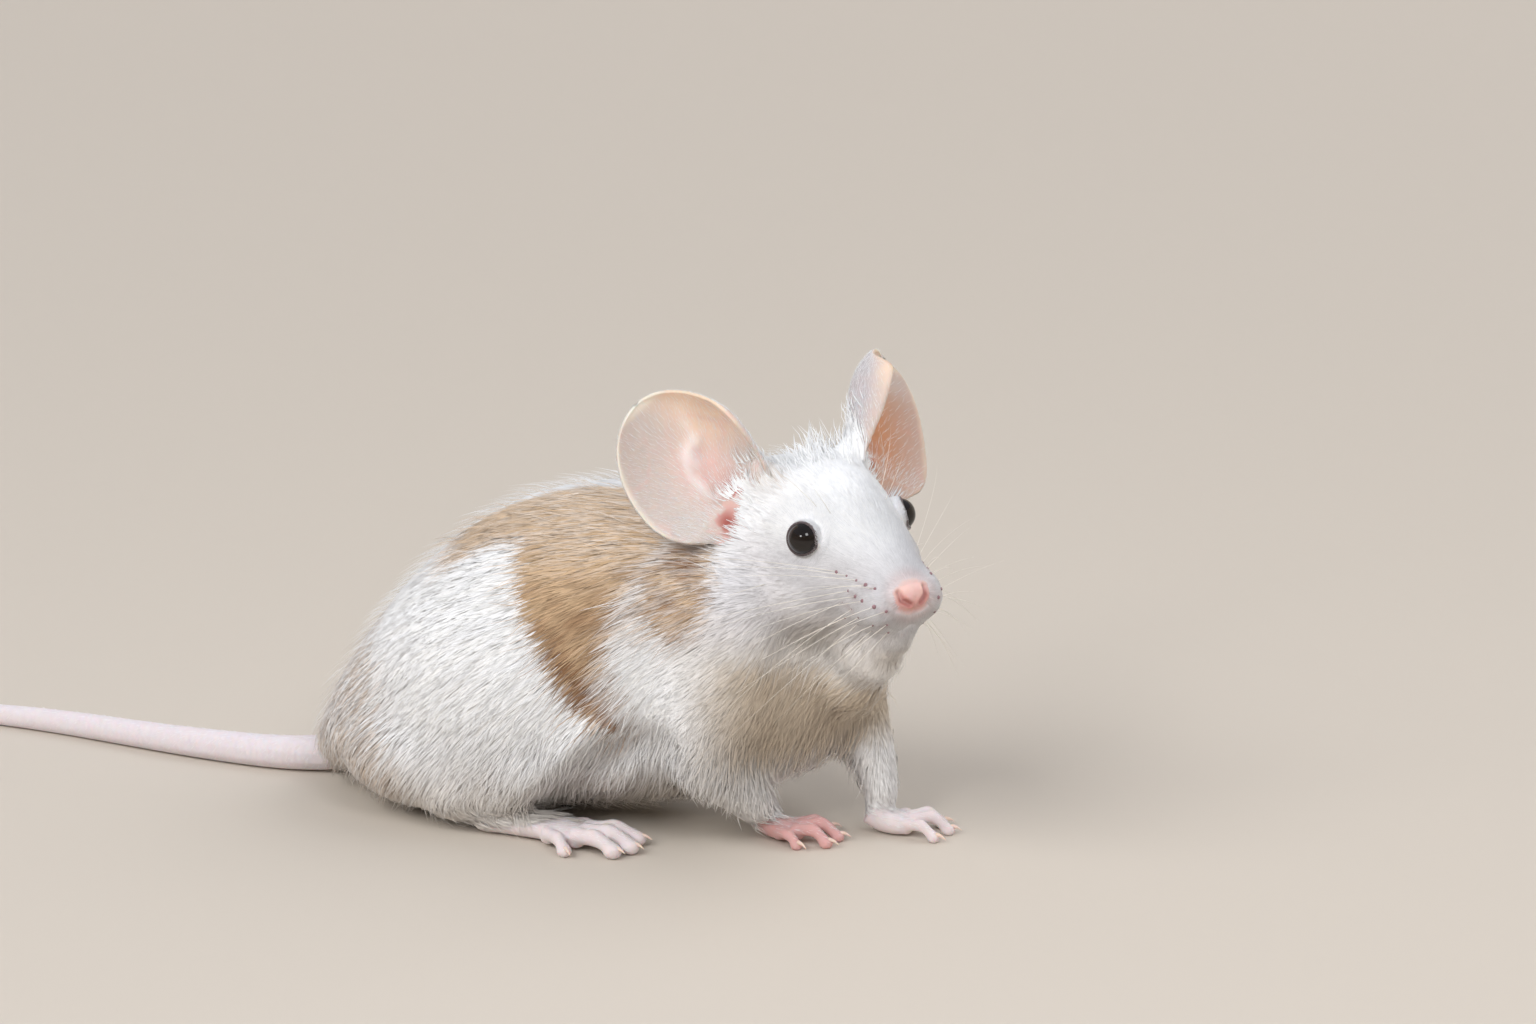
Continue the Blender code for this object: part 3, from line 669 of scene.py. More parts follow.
def markings(points):
    """Shares of fawn in the coat, from 0 to 1: saddle with its band along the back, bridge over
    the shoulder, nape, rump strip, left patch and a faint mark by the right ear."""
    x, y, z = (points / MM).T
    wobble = 0.5 * ripple(points / MM, 9.0, 3) + 0.3 * ripple(points / MM, 2.6, 4)
    rear = np.interp(z, (14.0, 17.1, 19.2, 23.8, 29.2, 34.3), (48.8, 44.8, 43.2, 40.8, 37.9, 34.9))
    front = np.interp(z, (14.0, 20.0, 30.0, 33.5, 37.0), (50.0, 48.6, 49.4, 52.0, 55.5))
    right = smooth(-3.2, -5.4, y + 0.5 * wobble)
    saddle = (smooth(-0.9, 0.9, x - rear + 0.6 * wobble) * smooth(2.6, -3.0, x - front + 1.4 * wobble)
              * smooth(12.6, 14.8, z) * right)
    saddle = (1 - 0.22 * smooth(29.0, 37.0, z)) * saddle
    spine = np.interp(x, (16.0, 20.0, 24.0, 28.0, 32.0, 40.0), (26.7, 30.3, 33.4, 36.2, 38.6, 40.8))
    band = (0.85 * smooth(22.0, 28.0, x + wobble) * smooth(39.0, 36.0, x)
            * smooth(5.8, 3.8, spine - z + 0.4 * wobble) * smooth(-3.6, -6.0, y + 0.5 * wobble))
    bridge = (0.42 * smooth(44.0, 48.0, x) * smooth(58.0, 54.0, x)
              * smooth(23.0, 29.0, z + wobble) * right)
    nape = (0.8 * smooth(1.25, 0.55, np.hypot((x - 55.4) / 4.6, (z - 31.2) / 6.6) + 0.12 * wobble)
            * smooth(-7.0, -9.0, y))
    rump = (0.38 * smooth(22.5, 16.0, x + 1.2 * wobble + 0.35 * (z - 16.0)) * smooth(33.0, 27.0, z)
            * smooth(1.0, 5.0, z) * smooth(-1.0, -4.0, y))
    slant = 0.45 * (z - 28.0)
    left = np.hypot((x - 38.0 + slant) / 8.5, (z - 27.5) / 11.0) + 0.3 * wobble
    left = 0.95 * smooth(1.14, 0.86, left) * smooth(4.0, 6.0, y)
    brow = 0.28 * blob(span(points / MM, (64.6, -6.6, 44.4)), 2.0)
    return np.clip(np.max((saddle, band, bridge, nape, rump, left, brow), axis=0), 0, 1)


def coat_tint(points, colours, share=None):
    """Colour of the coat at some places: white with the fawn markings, cream on chest, jaw and
    belly, partly as painted warm shade under the body, and painted cool shade on the lower face."""
    if share is None:
        share = markings(points)
    x, _, z = (points / MM).T
    # Cream on chest, belly and jaw: the hair's own warm colour and partly painted warm shade, strongest low on
    # the belly and under the jaw.
    chest = 0.95 * smooth(55.0, 66.0, x) * smooth(27.0, 21.0, z + 0.3 * (x - 66.0))
    chest *= smooth(8.0, 14.0, z)
    belly = 0.5 * smooth(13.0, 2.0, z) + 0.25 * smooth(12.0, 6.0, z) * smooth(38.0, 46.0, x)
    belly *= 1 - 0.7 * smooth(56.0, 62.0, x) * smooth(12.0, 6.0, z)
    ahead, side, up = into(HEAD, points).T
    jaw = 0.4 * smooth(-6.5, -11.5, up + 0.25 * ahead) * smooth(-12.0, -4.0, ahead)
    jaw *= smooth(-20.0, -14.0, up)
    cream_and_painted_shade = np.max((chest, np.clip(belly, 0, 1), jaw), axis=0)
    white = mixed(srgb(colours.white), srgb(colours.cream_with_painted_shade), cream_and_painted_shade)
    # Painted cool shade: the cheeks beside the whisker pads and the lower half of the face are mixed towards
    # the muzzle colour.
    pad = np.linalg.norm(np.stack(((ahead - 4.0) * 0.5, np.abs(side) - 6.5, up + 6.0), 1), axis=1)
    low = 0.7 * smooth(1.5, -3.5, up) * smooth(-11.0, -6.0, ahead) * smooth(-14.0, -9.0, up)
    white = mixed(white, srgb(colours.shade), np.maximum(0.85 * blob(pad, 4.6), low))
    dark = 0.36 + 0.3 * ripple(points / MM, 3.4, 8) - 0.42 * smooth(27.0, 36.0, z)
    dark += 0.18 * smooth(24.0, 18.0, z) + 0.2 * smooth(46.0, 52.0, x) * smooth(38.0, 32.0, z)
    streak = np.clip(0.75 + 0.9 * ripple(points / MM * (0.6, 1.0, 1.7), 1.7, 14), 0, 1.4)
    edge = np.interp(z, (14.0, 18.0, 24.0, 29.0), (48.6, 44.0, 40.6, 38.0))
    dark += 0.75 * streak * blob(x - edge - 1.8, 2.0) * smooth(27.0, 21.0, z) * smooth(13.0, 16.0, z)
    dark += 0.8 * streak * blob(np.hypot((x - 55.8) / 1.3, z - 34.4), 2.2)
    fawn = mixed(srgb(colours.fawn), srgb(colours.brown), np.clip(dark, 0, 1))
    return mixed(white, fawn, share)


def skin_tint(points, normals, colours):
    """Colour of the skin, and how bare it is, from 0 under the coat to 1."""
    local = into(HEAD, points)
    half = folded(local)
    tint = mixed(coat_tint(points, colours), srgb(colours.skin), 0.16)
    bare_nodes = ("hind", "forepaw", "tail", "ear")
    bare = by_node(points, {node: float(node.startswith(bare_nodes)) for node in (*COAT_DEPTH, *EARS)})
    x, z = points[:, 0] / MM, points[:, 2] / MM
    tail = smooth(9.0, 5.0, x) * smooth(7.0, 5.0, z)
    bare = np.maximum(bare, tail)
    foot = smooth(4.4, 2.6, z) * smooth(20.0, 26.0, x)
    wrist = smooth(8.0, 4.4, z) * smooth(57.0, 61.0, x)
    foot = np.maximum(foot, wrist)
    bare = np.maximum(bare, 0.62 * wrist)
    tint = mixed(tint, srgb(colours.foot), foot)
    paw = foot * smooth(58.0, 61.0, x) * smooth(73.0, 71.8, x) * smooth(6.0, 3.5, z)
    tint = mixed(tint, srgb(colours.paw), paw)
    tint = mixed(tint, srgb(colours.tail), tail)
    nose = span(half, NOSE, (1.0, 1.2, 0.85))
    tint = mixed(tint, srgb(colours.nose), smooth(2.9, 1.7, nose))
    tint = mixed(tint, srgb(colours.nostril), 0.9 * blob(path_distance(half, NOSTRIL), 0.45))
    pale = 0.8 * smooth(3.1, 1.9, nose) * smooth(-5.7, -4.2, local[:, 2])
    tint = mixed(tint, srgb(colours.ear_pink), pale)
    bare = np.maximum(bare, smooth(2.3, 1.7, nose))
    lip = np.minimum(path_distance(half, MOUTH), path_distance(half, PHILTRUM))
    tint = mixed(tint, srgb(colours.nostril), 0.3 * blob(lip, 0.35))
    canal = span(half, CANAL, (1.3, 1.0, 1.2))
    bare = np.maximum(bare, smooth(2.7, 1.9, canal))
    tint = mixed(tint, srgb(colours.ear_pink), smooth(3.2, 2.2, canal))
    tint = mixed(tint, srgb(colours.ear_canal), blob(canal, 1.3))
    for side in (-1, 1):
        angle, distance, _, _, opening = eye_angles(local, side)
        close = distance < EYE_RADIUS + 1.2
        tint = mixed(tint, srgb(colours.lid), 0.95 * smooth(opening + 12, opening + 4, angle) * close)
        bare = np.maximum(bare, smooth(opening + 13, opening + 8, angle) * close)
    for name, place, owned in ear_parts(points):
        inside = smooth(-0.2, 0.35, normals @ turned(ear_frame(name), [(0, 0, 1)])[0])
        inner = ear_tint(name, place, colours)
        shade = mixed(np.broadcast_to(srgb(colours.ear_back), inner.shape), inner, inside)
        tint = np.where(owned[:, None], shade, tint)
    return tint, np.clip(bare, 0, 1)


def ear_tint(name, place, colours):
    """Colour inside an ear: peach to the front, pink in the middle, veins and a pale rim."""
    across, along = place[:, 0], place[:, 1]
    front = smooth(-1.0, 4.0, across) * smooth(3.0, 9.0, along)
    tint = mixed(srgb(colours.ear), srgb(colours.ear_peach), front)
    middle = blob(np.hypot(across - 0.6, (along - 5.0) / 1.3), 3.2)
    tint = mixed(tint, srgb(colours.ear_pink), middle)
    tint = mixed(tint, srgb(colours.white), np.clip(0.9 * ear_relief(place), 0, 0.35))
    veins = smooth(0.16, 0.04, np.abs(ripple(place * (1.0, 0.55, 0.0), 5.5, 71)))
    tint = mixed(tint, srgb(colours.ear_pink) * 0.9, 0.4 * veins * smooth(14.5, 9.0, along))
    canal = blob(np.hypot(across - 1.6, (along - 0.9) / 1.2), 1.6)
    tint = mixed(tint, srgb(colours.ear_canal), canal)
    reach = (along - EAR_MIDDLE) / EAR_HALF_LENGTH
    chord = np.sqrt(np.maximum(0.02, 1 - ((reach - EAR_WIDEST) / (1 - EAR_WIDEST)) ** 2))
    rear = smooth(0.9, 0.98, -across / (EAR_REAR_WIDTH * chord))
    tint = mixed(tint, srgb(colours.ear_rim), 0.7 * np.maximum(rear, smooth(0.84, 0.95, reach)))
    # Painted shade: the left ear's hollow is darkened to amber, as shade with light glowing through; the right
    # ear does not get it.
    if name.endswith("L"):
        hollow_painted_shade = blob(np.hypot((across + 1.5) / 1.1, (along - 6.0) / 1.6), 5.2)
        tint = mixed(tint, srgb(colours.left_ear_painted_shade), hollow_painted_shade * smooth(14.4, 11.0, along))
    return tint


def coat_flow(points, normals, head_share):
    """Lie of the coat: away from the nose on the head, backwards and down on the body."""
    x, _, z = (points / MM).T
    height = np.clip(z / 42.0, 0, 1)
    body = np.stack((-1.0 + 0.35 * (1 - height), 0 * x, -0.1 - 1.1 * (1 - height) ** 0.8), 1)
    leg = smooth(14.0, 6.0, z) * smooth(56.0, 62.0, x)
    body = mixed(body, np.array((0.15, 0.0, -1.0)), leg)
    local = into(HEAD, points)
    away = local - np.array((13.0, 0.0, -5.0))
    away[:, 1] *= 1.15
    away = unit(away)
    away[:, 2] -= 0.45 * smooth(-2.0, -9.0, local[:, 2])
    for side in (-1, 1):
        _, distance, way, _, _ = eye_angles(local, side)
        away += way * (1.3 * smooth(4.8, 2.2, distance))[:, None]
    face = turned(HEAD, away)
    flow = mixed(unit(body), face, head_share)
    foot = smooth(5.0, 3.4, z) * smooth(24.0, 30.0, x)
    flow = mixed(flow, np.array((1.0, 0.0, -0.15)), foot)
    for name, place, owned in ear_parts(points):
        upward = turned(ear_frame(name), place * (0.16, 0.0, 0.0) + (0.0, 1.0, 0.0))
        flow = np.where(owned[:, None], upward, flow)
    return along_skin(flow, normals)


def coat_length(points, head_share, settings):
    """Length of the hair in metres."""
    base = by_node(points, {
        "trunk": 1.0, "neck": 0.95, "head": 0.8, "haunch_R": 1.0, "haunch_L": 1.0,
        "foreleg_R": 0.8, "foreleg_L": 0.5, "hind_foot_R": 0.3, "hind_foot_L": 0.3,
        "forepaw_R": 0.3, "forepaw_L": 0.3, "tail_base": 0.4, "tail_middle": 0.2, "tail_tip": 0.2,
    })
    local = into(HEAD, points)
    ahead, _, up = local.T
    face = np.interp(ahead, (-14.0, -7.0, 0.0, 6.0, 11.0), (0.85, 0.64, 0.5, 0.4, 0.26))
    face += 0.3 * smooth(-6.0, -11.0, up) * smooth(10.5, 6.0, ahead)
    base = base + (face - base) * head_share
    for side in (-1, 1):
        _, distance, _, _, _ = eye_angles(local, side)
        base = base * (0.38 + 0.62 * smooth(2.2, 5.5, distance))
    return base * settings.body_hair


def down_cover(points, normals, bare):
    """Fine short hairs to the square millimetre on ears, feet and tail."""
    x, z = points[:, 0] / MM, points[:, 2] / MM
    upper = smooth(-0.2, 0.4, normals[:, 2])
    feet = 3.2 * smooth(0.8, 1.6, z) * smooth(5.2, 3.6, z) * smooth(24.0, 30.0, x) * upper
    tail = 1.6 * smooth(9.0, 5.0, x) * smooth(7.0, 5.0, z) * smooth(0.3, 1.0, z)
    down = np.maximum(feet, tail) * bare
    for name, place, owned in ear_parts(points):
        outside = smooth(0.3, -0.3, normals @ turned(ear_frame(name), [(0, 0, 1)])[0])
        own = (4.0 if name.endswith("R") else 1.8) + 5.0 * outside
        own = own + 6.0 * smooth(5.0, 1.0, place[:, 1])
        down = np.where(owned, own, down)
    return down * smooth(4.0, 6.0, span(into(HEAD, points), NOSE))


def unwrap(item):
    """An unwrap of the skin's own shape, under the name OFBake."""
    bpy.context.view_layer.objects.active = item
    item.select_set(True)
    item.data.uv_layers.new(name="OFBake")
    bpy.ops.object.mode_set(mode="EDIT")
    bpy.ops.mesh.select_all(action="SELECT")
    bpy.ops.uv.smart_project(angle_limit=radians(70), island_margin=0.002)
    bpy.ops.object.mode_set(mode="OBJECT")
    item.select_set(False)


def thin(item, triangles, group=None):
    """Collapses edges down to a count of triangles, in a group of corners if one is named."""
    step = item.modifiers.new("thin", "DECIMATE")
    step.ratio = triangles / sum(len(face.vertices) - 2 for face in item.data.polygons)
    step.use_collapse_triangulate = True
    if group:
        step.vertex_group = group
        step.vertex_group_factor = 1.0
    apply_modifiers(item)


def thin_body(item):
    """Thins the skin evenly, then the parts under the coat, and keeps the head fine."""
    thin(item, EVEN_TRIANGLES)
    local = into(HEAD, points_of(item.data))
    covered = 1 - smooth(-16.0, -10.0, local[:, 0]) * smooth(-18.0, -14.0, local[:, 2])
    weigh(item, "covered", np.where(covered > 0.01, covered, 0))
    thin(item, BODY_TRIANGLES, "covered")


def draw_in_flanks(points):
    """Hollows the flanks ahead of the thighs."""
    x, y, z = (points / MM).T
    ahead = x - 38.5 - 1.05 * (z - 5.5)
    flank = smooth(0.0, 5.0, ahead) * smooth(58.0, 53.0, x) * smooth(16.0, 12.0, z)
    reach = np.abs(y + 3.0)
    points[:, 1] -= np.sign(y + 3.0) * MM * flank * 0.75 * np.maximum(0.0, reach - 9.5)
    points[:, 2] += MM * flank * 0.5 * np.maximum(0.0, 11.0 - z) * smooth(8.0, 13.0, reach)


def move_under_coat(item):
    """Softens the joints between the nodes and moves the skin in by the coat's depth."""
    mesh = item.data
    points, edges = points_of(mesh), edges_of(mesh)
    local = into(HEAD, points)
    nodes = (*COAT_DEPTH, *EYES)
    head_share = by_node(points, {node: float(node in ("head", *EYES)) for node in nodes})
    depth = by_node(points, {**COAT_DEPTH, "eye_R": 0.5, "eye_L": 0.5})
    depth = depth * (0.3 + 0.7 * smooth(2.0, 12.0, points[:, 2] / MM))
    snout = np.interp(local[:, 0], (-10.0, 0.0, 7.0, 11.5), (1.0, 0.8, 0.5, 0.15))
    depth = depth + (snout - depth) * head_share
    fine = np.maximum(head_share, depth < 0.05)
    depth = relax(depth, edges, 0.8, 30)
    draw_in_flanks(points)
    soft = blob(span(local, (4.0, 0.0, -11.6), (1.1, 1.5, 0.75)), 6.0)
    soft = np.maximum(soft, blob(span(folded(local), (-7.6, 6.6, 4.2)), 4.6))
    fine = fine * (1 - np.clip(1.4 * soft, 0, 1))
    points = relax(points, edges, 0.5 * (1 - fine), 40)
    points = relax(points, edges, 0.35, 10)
    set_points(mesh, points)
    normals = unit(relax(normals_of(mesh), edges, 0.5, 6))
    set_points(mesh, points - normals * (depth * MM + SWELL * MM)[:, None])
    melt(item, BODY_GRID)


def shape_face(mesh):
    """Finer faces round eyes, nose and mouth, then nose pad, nostrils, lips and lids."""
    nose, mouth = (Vector(out_of(HEAD, np.array([place]))[0]) for place in (NOSE, MOUTH[0]))
    subdivide_near(mesh, [*(centre_of(node) for node in EYES), nose, mouth], 3.4 * MM)
    subdivide_near(mesh, [nose], 1.9 * MM)
    points = relax(points_of(mesh), edges_of(mesh), 0.4, 4)
    set_points(mesh, points)
    points = points + normals_of(mesh) * (face_relief(points) * MM)[:, None]
    set_points(mesh, open_eyes(points))


def make_skin(settings, colours):
    """One skin for all flesh, inside the solids by the depth of the coat."""
    item = body_flesh()
    move_under_coat(item)
    thin_body(item)
    shape_face(item.data)
    for foot in FEET:
        graft(item, foot_flesh(*foot))
    for name in EARS:
        graft(item, ear_flesh(name))
    item.vertex_groups.clear()
    finish_skin(item, settings, colours)
    return item


def finish_skin(item, settings, colours):
    """Writes on the skin its colour and bareness, and the lie and length of its coat."""
    mesh = item.data
    mesh.shade_smooth()
    points, edges = points_of(mesh), edges_of(mesh)
    normals = unit(relax(normals_of(mesh), edges, 0.5, 2))
    nodes = (*COAT_DEPTH, *EARS)
    head_share = by_node(points, {node: float(node in ("head", *EARS)) for node in nodes})
    head_share = relax(head_share, edges, 0.8, 25)
    tint, bare = skin_tint(points, normals, colours)
    write_attribute(mesh, "tint", "FLOAT_COLOR", np.hstack((tint, np.ones((len(points), 1)))))
    write_attribute(mesh, "bare", "FLOAT", relax(bare, edges, 0.5, 2))
    write_attribute(mesh, "down", "FLOAT", down_cover(points, normals, bare))
    x, z = points[:, 0] / MM, points[:, 2] / MM
    write_attribute(mesh, "ringed", "FLOAT", smooth(6.0, 1.0, x) * smooth(7.0, 5.0, z))
    flow = coat_flow(points, normals, head_share)
    write_attribute(mesh, "flow", "FLOAT_VECTOR", unit(relax(flow, edges, 0.5, 4)))
    length = relax(coat_length(points, head_share, settings), edges, 0.6, 8)
    write_attribute(mesh, "hair_length", "FLOAT", length)
    write_attribute(mesh, "head_share", "FLOAT", head_share)
    unwrap(item)


def new_material(name, roughness, colour=None, **sockets):
    """A material with its node tree and shader; a socket's name has _ for each space."""
    made = bpy.data.materials.new(name)
    made.use_nodes = True
    shader = made.node_tree.nodes["Principled BSDF"]
    shader.inputs["Roughness"].default_value = roughness
    if colour is not None:
        shader.inputs["Base Color"].default_value = (*srgb(colour), 1.0)
    for socket, value in sockets.items():
        shader.inputs[socket.replace("_", " ")].default_value = value
    return made, made.node_tree, shader


def node(tree, kind, **values):
    made = tree.nodes.new(kind)
    for name, value in values.items():
        if name in made.inputs:
            made.inputs[name].default_value = value
        else:
            setattr(made, name, value)
    return made


def noise_node(tree, scale, detail=3.0, stretch=None):
    """Noise on object coordinates, in features per metre."""
    place = node(tree, "ShaderNodeTexCoord").outputs["Object"]
    if stretch:
        mapping = node(tree, "ShaderNodeMapping", Scale=stretch)
        tree.links.new(place, mapping.inputs["Vector"])
        place = mapping.outputs["Vector"]
    noise = node(tree, "ShaderNodeTexNoise", Scale=scale, Detail=detail)
    tree.links.new(place, noise.inputs["Vector"])
    return noise


def tinted(tree, shader, name, light, dark, noise):
    """Base colour from an attribute, made lighter and darker by noise."""
    colour = node(tree, "ShaderNodeAttribute", attribute_name=name)
    ramp = node(tree, "ShaderNodeMapRange", **{"To Min": dark, "To Max": light})
    tree.links.new(noise.outputs["Fac"], ramp.inputs["Value"])
    mix = node(tree, "ShaderNodeMix", data_type="RGBA", blend_type="MULTIPLY", Factor=1.0)
    tree.links.new(colour.outputs["Color"], mix.inputs["A"])
    tree.links.new(ramp.outputs["Result"], mix.inputs["B"])
    tree.links.new(mix.outputs["Result"], shader.inputs["Base Color"])


def skin_material():
    """Soft skin: fine grain all over, tail rings and light passing through."""
    made, tree, shader = new_material("mouse_skin", 0.55, Subsurface_Weight=0.35, Subsurface_Scale=0.0009)
    shader.inputs["Subsurface Radius"].default_value = (1.0, 0.4, 0.25)
    tinted(tree, shader, "tint", 1.05, 0.93, noise_node(tree, 900.0))
    grain = noise_node(tree, 2600.0, 2.0)
    bump = node(tree, "ShaderNodeBump", Strength=0.3, Distance=0.00012)
    tree.links.new(grain.outputs["Fac"], bump.inputs["Height"])
    place = node(tree, "ShaderNodeTexCoord")
    rings = node(tree, "ShaderNodeTexWave", Scale=370.0, Distortion=1.2, Detail=1.0)
    ringed = node(tree, "ShaderNodeAttribute", attribute_name="ringed")
    scale = node(tree, "ShaderNodeMath", operation="MULTIPLY")
    tree.links.new(place.outputs["Object"], rings.inputs["Vector"])
    tree.links.new(rings.outputs["Fac"], scale.inputs[0])
    tree.links.new(ringed.outputs["Fac"], scale.inputs[1])
    ring_bump = node(tree, "ShaderNodeBump", Strength=0.35, Distance=0.0001)
    tree.links.new(scale.outputs["Value"], ring_bump.inputs["Height"])
    tree.links.new(bump.outputs["Normal"], ring_bump.inputs["Normal"])
    tree.links.new(ring_bump.outputs["Normal"], shader.inputs["Normal"])
    return made


def coat_material():
    """Hair: the colour of each tuft comes with it."""
    made, tree, shader = new_material("mouse_coat", 0.6, Sheen_Weight=0.25, Sheen_Roughness=0.5)
    shader.inputs["Specular IOR Level"].default_value = 0.3
    tinted(tree, shader, "tint", 1.04, 0.95, noise_node(tree, 3000.0, 1.0))
    return made


def mottled_material(name, roughness, dark, light, scale, detail=3.0, stretch=None, **sockets):
    """A material that wanders between two colours of linear light."""
    made, tree, shader = new_material(name, roughness, **sockets)
    ramp = node(tree, "ShaderNodeValToRGB")
    for stop, colour in zip(ramp.color_ramp.elements, (dark, light)):
        stop.color = (*colour, 1)
    tree.links.new(noise_node(tree, scale, detail, stretch).outputs["Fac"], ramp.inputs["Fac"])
    tree.links.new(ramp.outputs["Color"], shader.inputs["Base Color"])
    return made


def finish_piece(bm, name, material, slot, *nodes):
    item = object_from(bm, name)
    item.data.shade_smooth()
    item.data.materials.append(material)
    declare(item, slot, *nodes)


def triangles_of(mesh):
    """Corners and loops of each triangle."""
    mesh.calc_loop_triangles()
    return [read(mesh.loop_triangles, field, 3, np.int32) for field in ("vertices", "loops")]


class SkinField:
    """The skin's triangles with its attributes, to root hair on and to lay it along."""

    def __init__(self, item):
        mesh = item.data
        self.points = points_of(mesh)
        self.normals = normals_of(mesh)
        self.corners, loops = triangles_of(mesh)
        self.uv = read(mesh.uv_layers["OFBake"].uv, "vector", 2)[loops].astype(float)
        self.values = {name: read_attribute(mesh, name)
                       for name in ("bare", "down", "flow", "hair_length", "head_share")}
        a, b, c = (self.points[self.corners[:, k]] for k in range(3))
        self.areas = np.linalg.norm(np.cross(b - a, c - a), axis=1) / 2
        self.tree = BVHTree.FromPolygons(self.points.tolist(), self.corners.tolist())

    def spread(self, per_area, draw):
        """Roots scattered evenly: triangle numbers and shares of the corners."""
        target = np.cumsum(self.areas * per_area)
        marks = np.arange(draw.uniform(), target[-1], 1.0)
        faces = np.minimum(np.searchsorted(target, marks), len(target) - 1)
        faces = faces[draw.permutation(len(faces))]
        first, second = draw.uniform(size=(2, len(faces)))
        over = first + second > 1
        first[over], second[over] = 1 - first[over], 1 - second[over]
        return faces, np.stack((1 - first - second, first, second), 1)

    def at(self, values, faces, shares):
        """Values of the corners blended at places within their triangles."""
        picked = values[self.corners[faces]]
        if picked.ndim == 2:
            return (picked * shares).sum(1)
        return np.einsum("ijk,ij->ik", picked, shares)

    def drop_to_skin(self, points):
        """Nearest places on the skin, with their faces."""
        spots, faces = [], []
        for point in points.tolist():
            spot, _, face, _ = self.tree.find_nearest(point)
            spots.append(spot)
            faces.append(face)
        return np.array(spots), np.array(faces)

    def face_mean(self, values, faces):
        return values[self.corners[faces]].mean(1)


def tuft_mesh(name, rings, tips, faces_of_one, normals, colours, uv_spots):
    """Joins many tufts of one pattern. rings is tufts x corners x 3, tips is tufts x 3."""
    corners = np.concatenate((rings, tips[:, None]), 1)
    tufts, count = corners.shape[:2]
    faces = (faces_of_one[None] + np.arange(tufts)[:, None, None] * count).reshape(-1, 3)
    mesh = bpy.data.meshes.new(name)
    mesh.vertices.add(tufts * count)
    mesh.vertices.foreach_set("co", corners.astype(np.float32).ravel())
    mesh.loops.add(len(faces) * 3)
    mesh.loops.foreach_set("vertex_index", faces.astype(np.int32).ravel())
    mesh.polygons.add(len(faces))
    mesh.polygons.foreach_set("loop_start", np.arange(0, len(faces) * 3, 3, dtype=np.int32))
    mesh.update(calc_edges=True)
    shade = np.concatenate((colours, np.ones((*colours.shape[:2], 1))), 2)
    write_attribute(mesh, "tint", "FLOAT_COLOR", shade)
    layer = mesh.uv_layers.new(name="OFBake")
    layer.uv.foreach_set("vector", uv_spots.reshape(-1, 2)[faces.ravel()].astype(np.float32).ravel())
    mesh.shade_smooth()
    mesh.normals_split_custom_set_from_vertices(normals.reshape(-1, 3))
    return new_object(name, mesh)


# Corners of one tuft: a root ring of three, a middle ring of three and the tip; or root and tip.
LOCK_FACES = np.array((
    (0, 2, 1), (0, 1, 4), (0, 4, 3), (1, 2, 5), (1, 5, 4), (2, 0, 3), (2, 3, 5),
    (3, 4, 6), (4, 5, 6), (5, 3, 6),
))
SPIKE_FACES = np.array(((0, 2, 1), (0, 1, 3), (1, 2, 3), (2, 0, 3)))
PATCH = 0.0015
LOWEST = 0.0003
EDGE_TILT = 0.22
COAT_PIECE_TRIANGLES = 190000


def lay_tufts(field, faces, shares, length, width, lift, lean, draw, straight):
    """Corners and normals of tufts that lie along the skin and rise by their lift at the tips."""
    root = field.at(field.points, faces, shares)
    normal = unit(field.at(field.normals, faces, shares))
    flow = along_skin(field.at(field.values["flow"], faces, shares) + lean, normal)
    half = length * 0.5
    middle, face = field.drop_to_skin(root + flow * half[:, None])
    normal_mid = unit(field.face_mean(field.normals, face))
    flow_mid = along_skin(field.face_mean(field.values["flow"], face) + lean, normal_mid)
    flow_mid = unit(flow_mid + 0.6 * flow)
    end, face = field.drop_to_skin(middle + flow_mid * half[:, None])
    normal_end = unit(field.face_mean(field.normals, face))
    start = root - normal * (0.06 * MM)
    middle = middle + normal_mid * (0.62 * lift)[:, None]
    end = end + normal_end * lift[:, None]
    middle[:, 2] = np.maximum(middle[:, 2], LOWEST)
    end[:, 2] = np.maximum(end[:, 2], LOWEST)
    side = unit(np.cross(normal, flow))
    side_mid = unit(np.cross(normal_mid, flow_mid))
    spin = draw.normal(0, 0.25, len(side))[:, None]
    side_mid = unit(side_mid + normal_mid * spin)
    top_mid = np.cross(flow_mid, side_mid) * -1
    top_mid *= np.sign(dots(top_mid, normal_mid))[:, None]
    wide = width[:, None] * 0.5
    ring_a = (start - side * wide * 0.8, start + side * wide * 0.8, start + normal * wide * 0.9)
    ring_b = (middle - side_mid * wide, middle + side_mid * wide, middle + top_mid * wide * 0.75)
    rings = np.stack(ring_a if straight else (*ring_a, *ring_b), 1)
    tilt, tilt_mid = side * EDGE_TILT, side_mid * EDGE_TILT
    shade = np.stack((unit(normal - tilt), unit(normal + tilt), normal,
                      unit(normal_mid - tilt_mid), unit(normal_mid + tilt_mid), normal_mid,
                      unit(normal_end + 0.15 * flow_mid)), 1)
    if straight:
        shade = shade[:, (0, 1, 2, 6)]
    return rings, end, shade


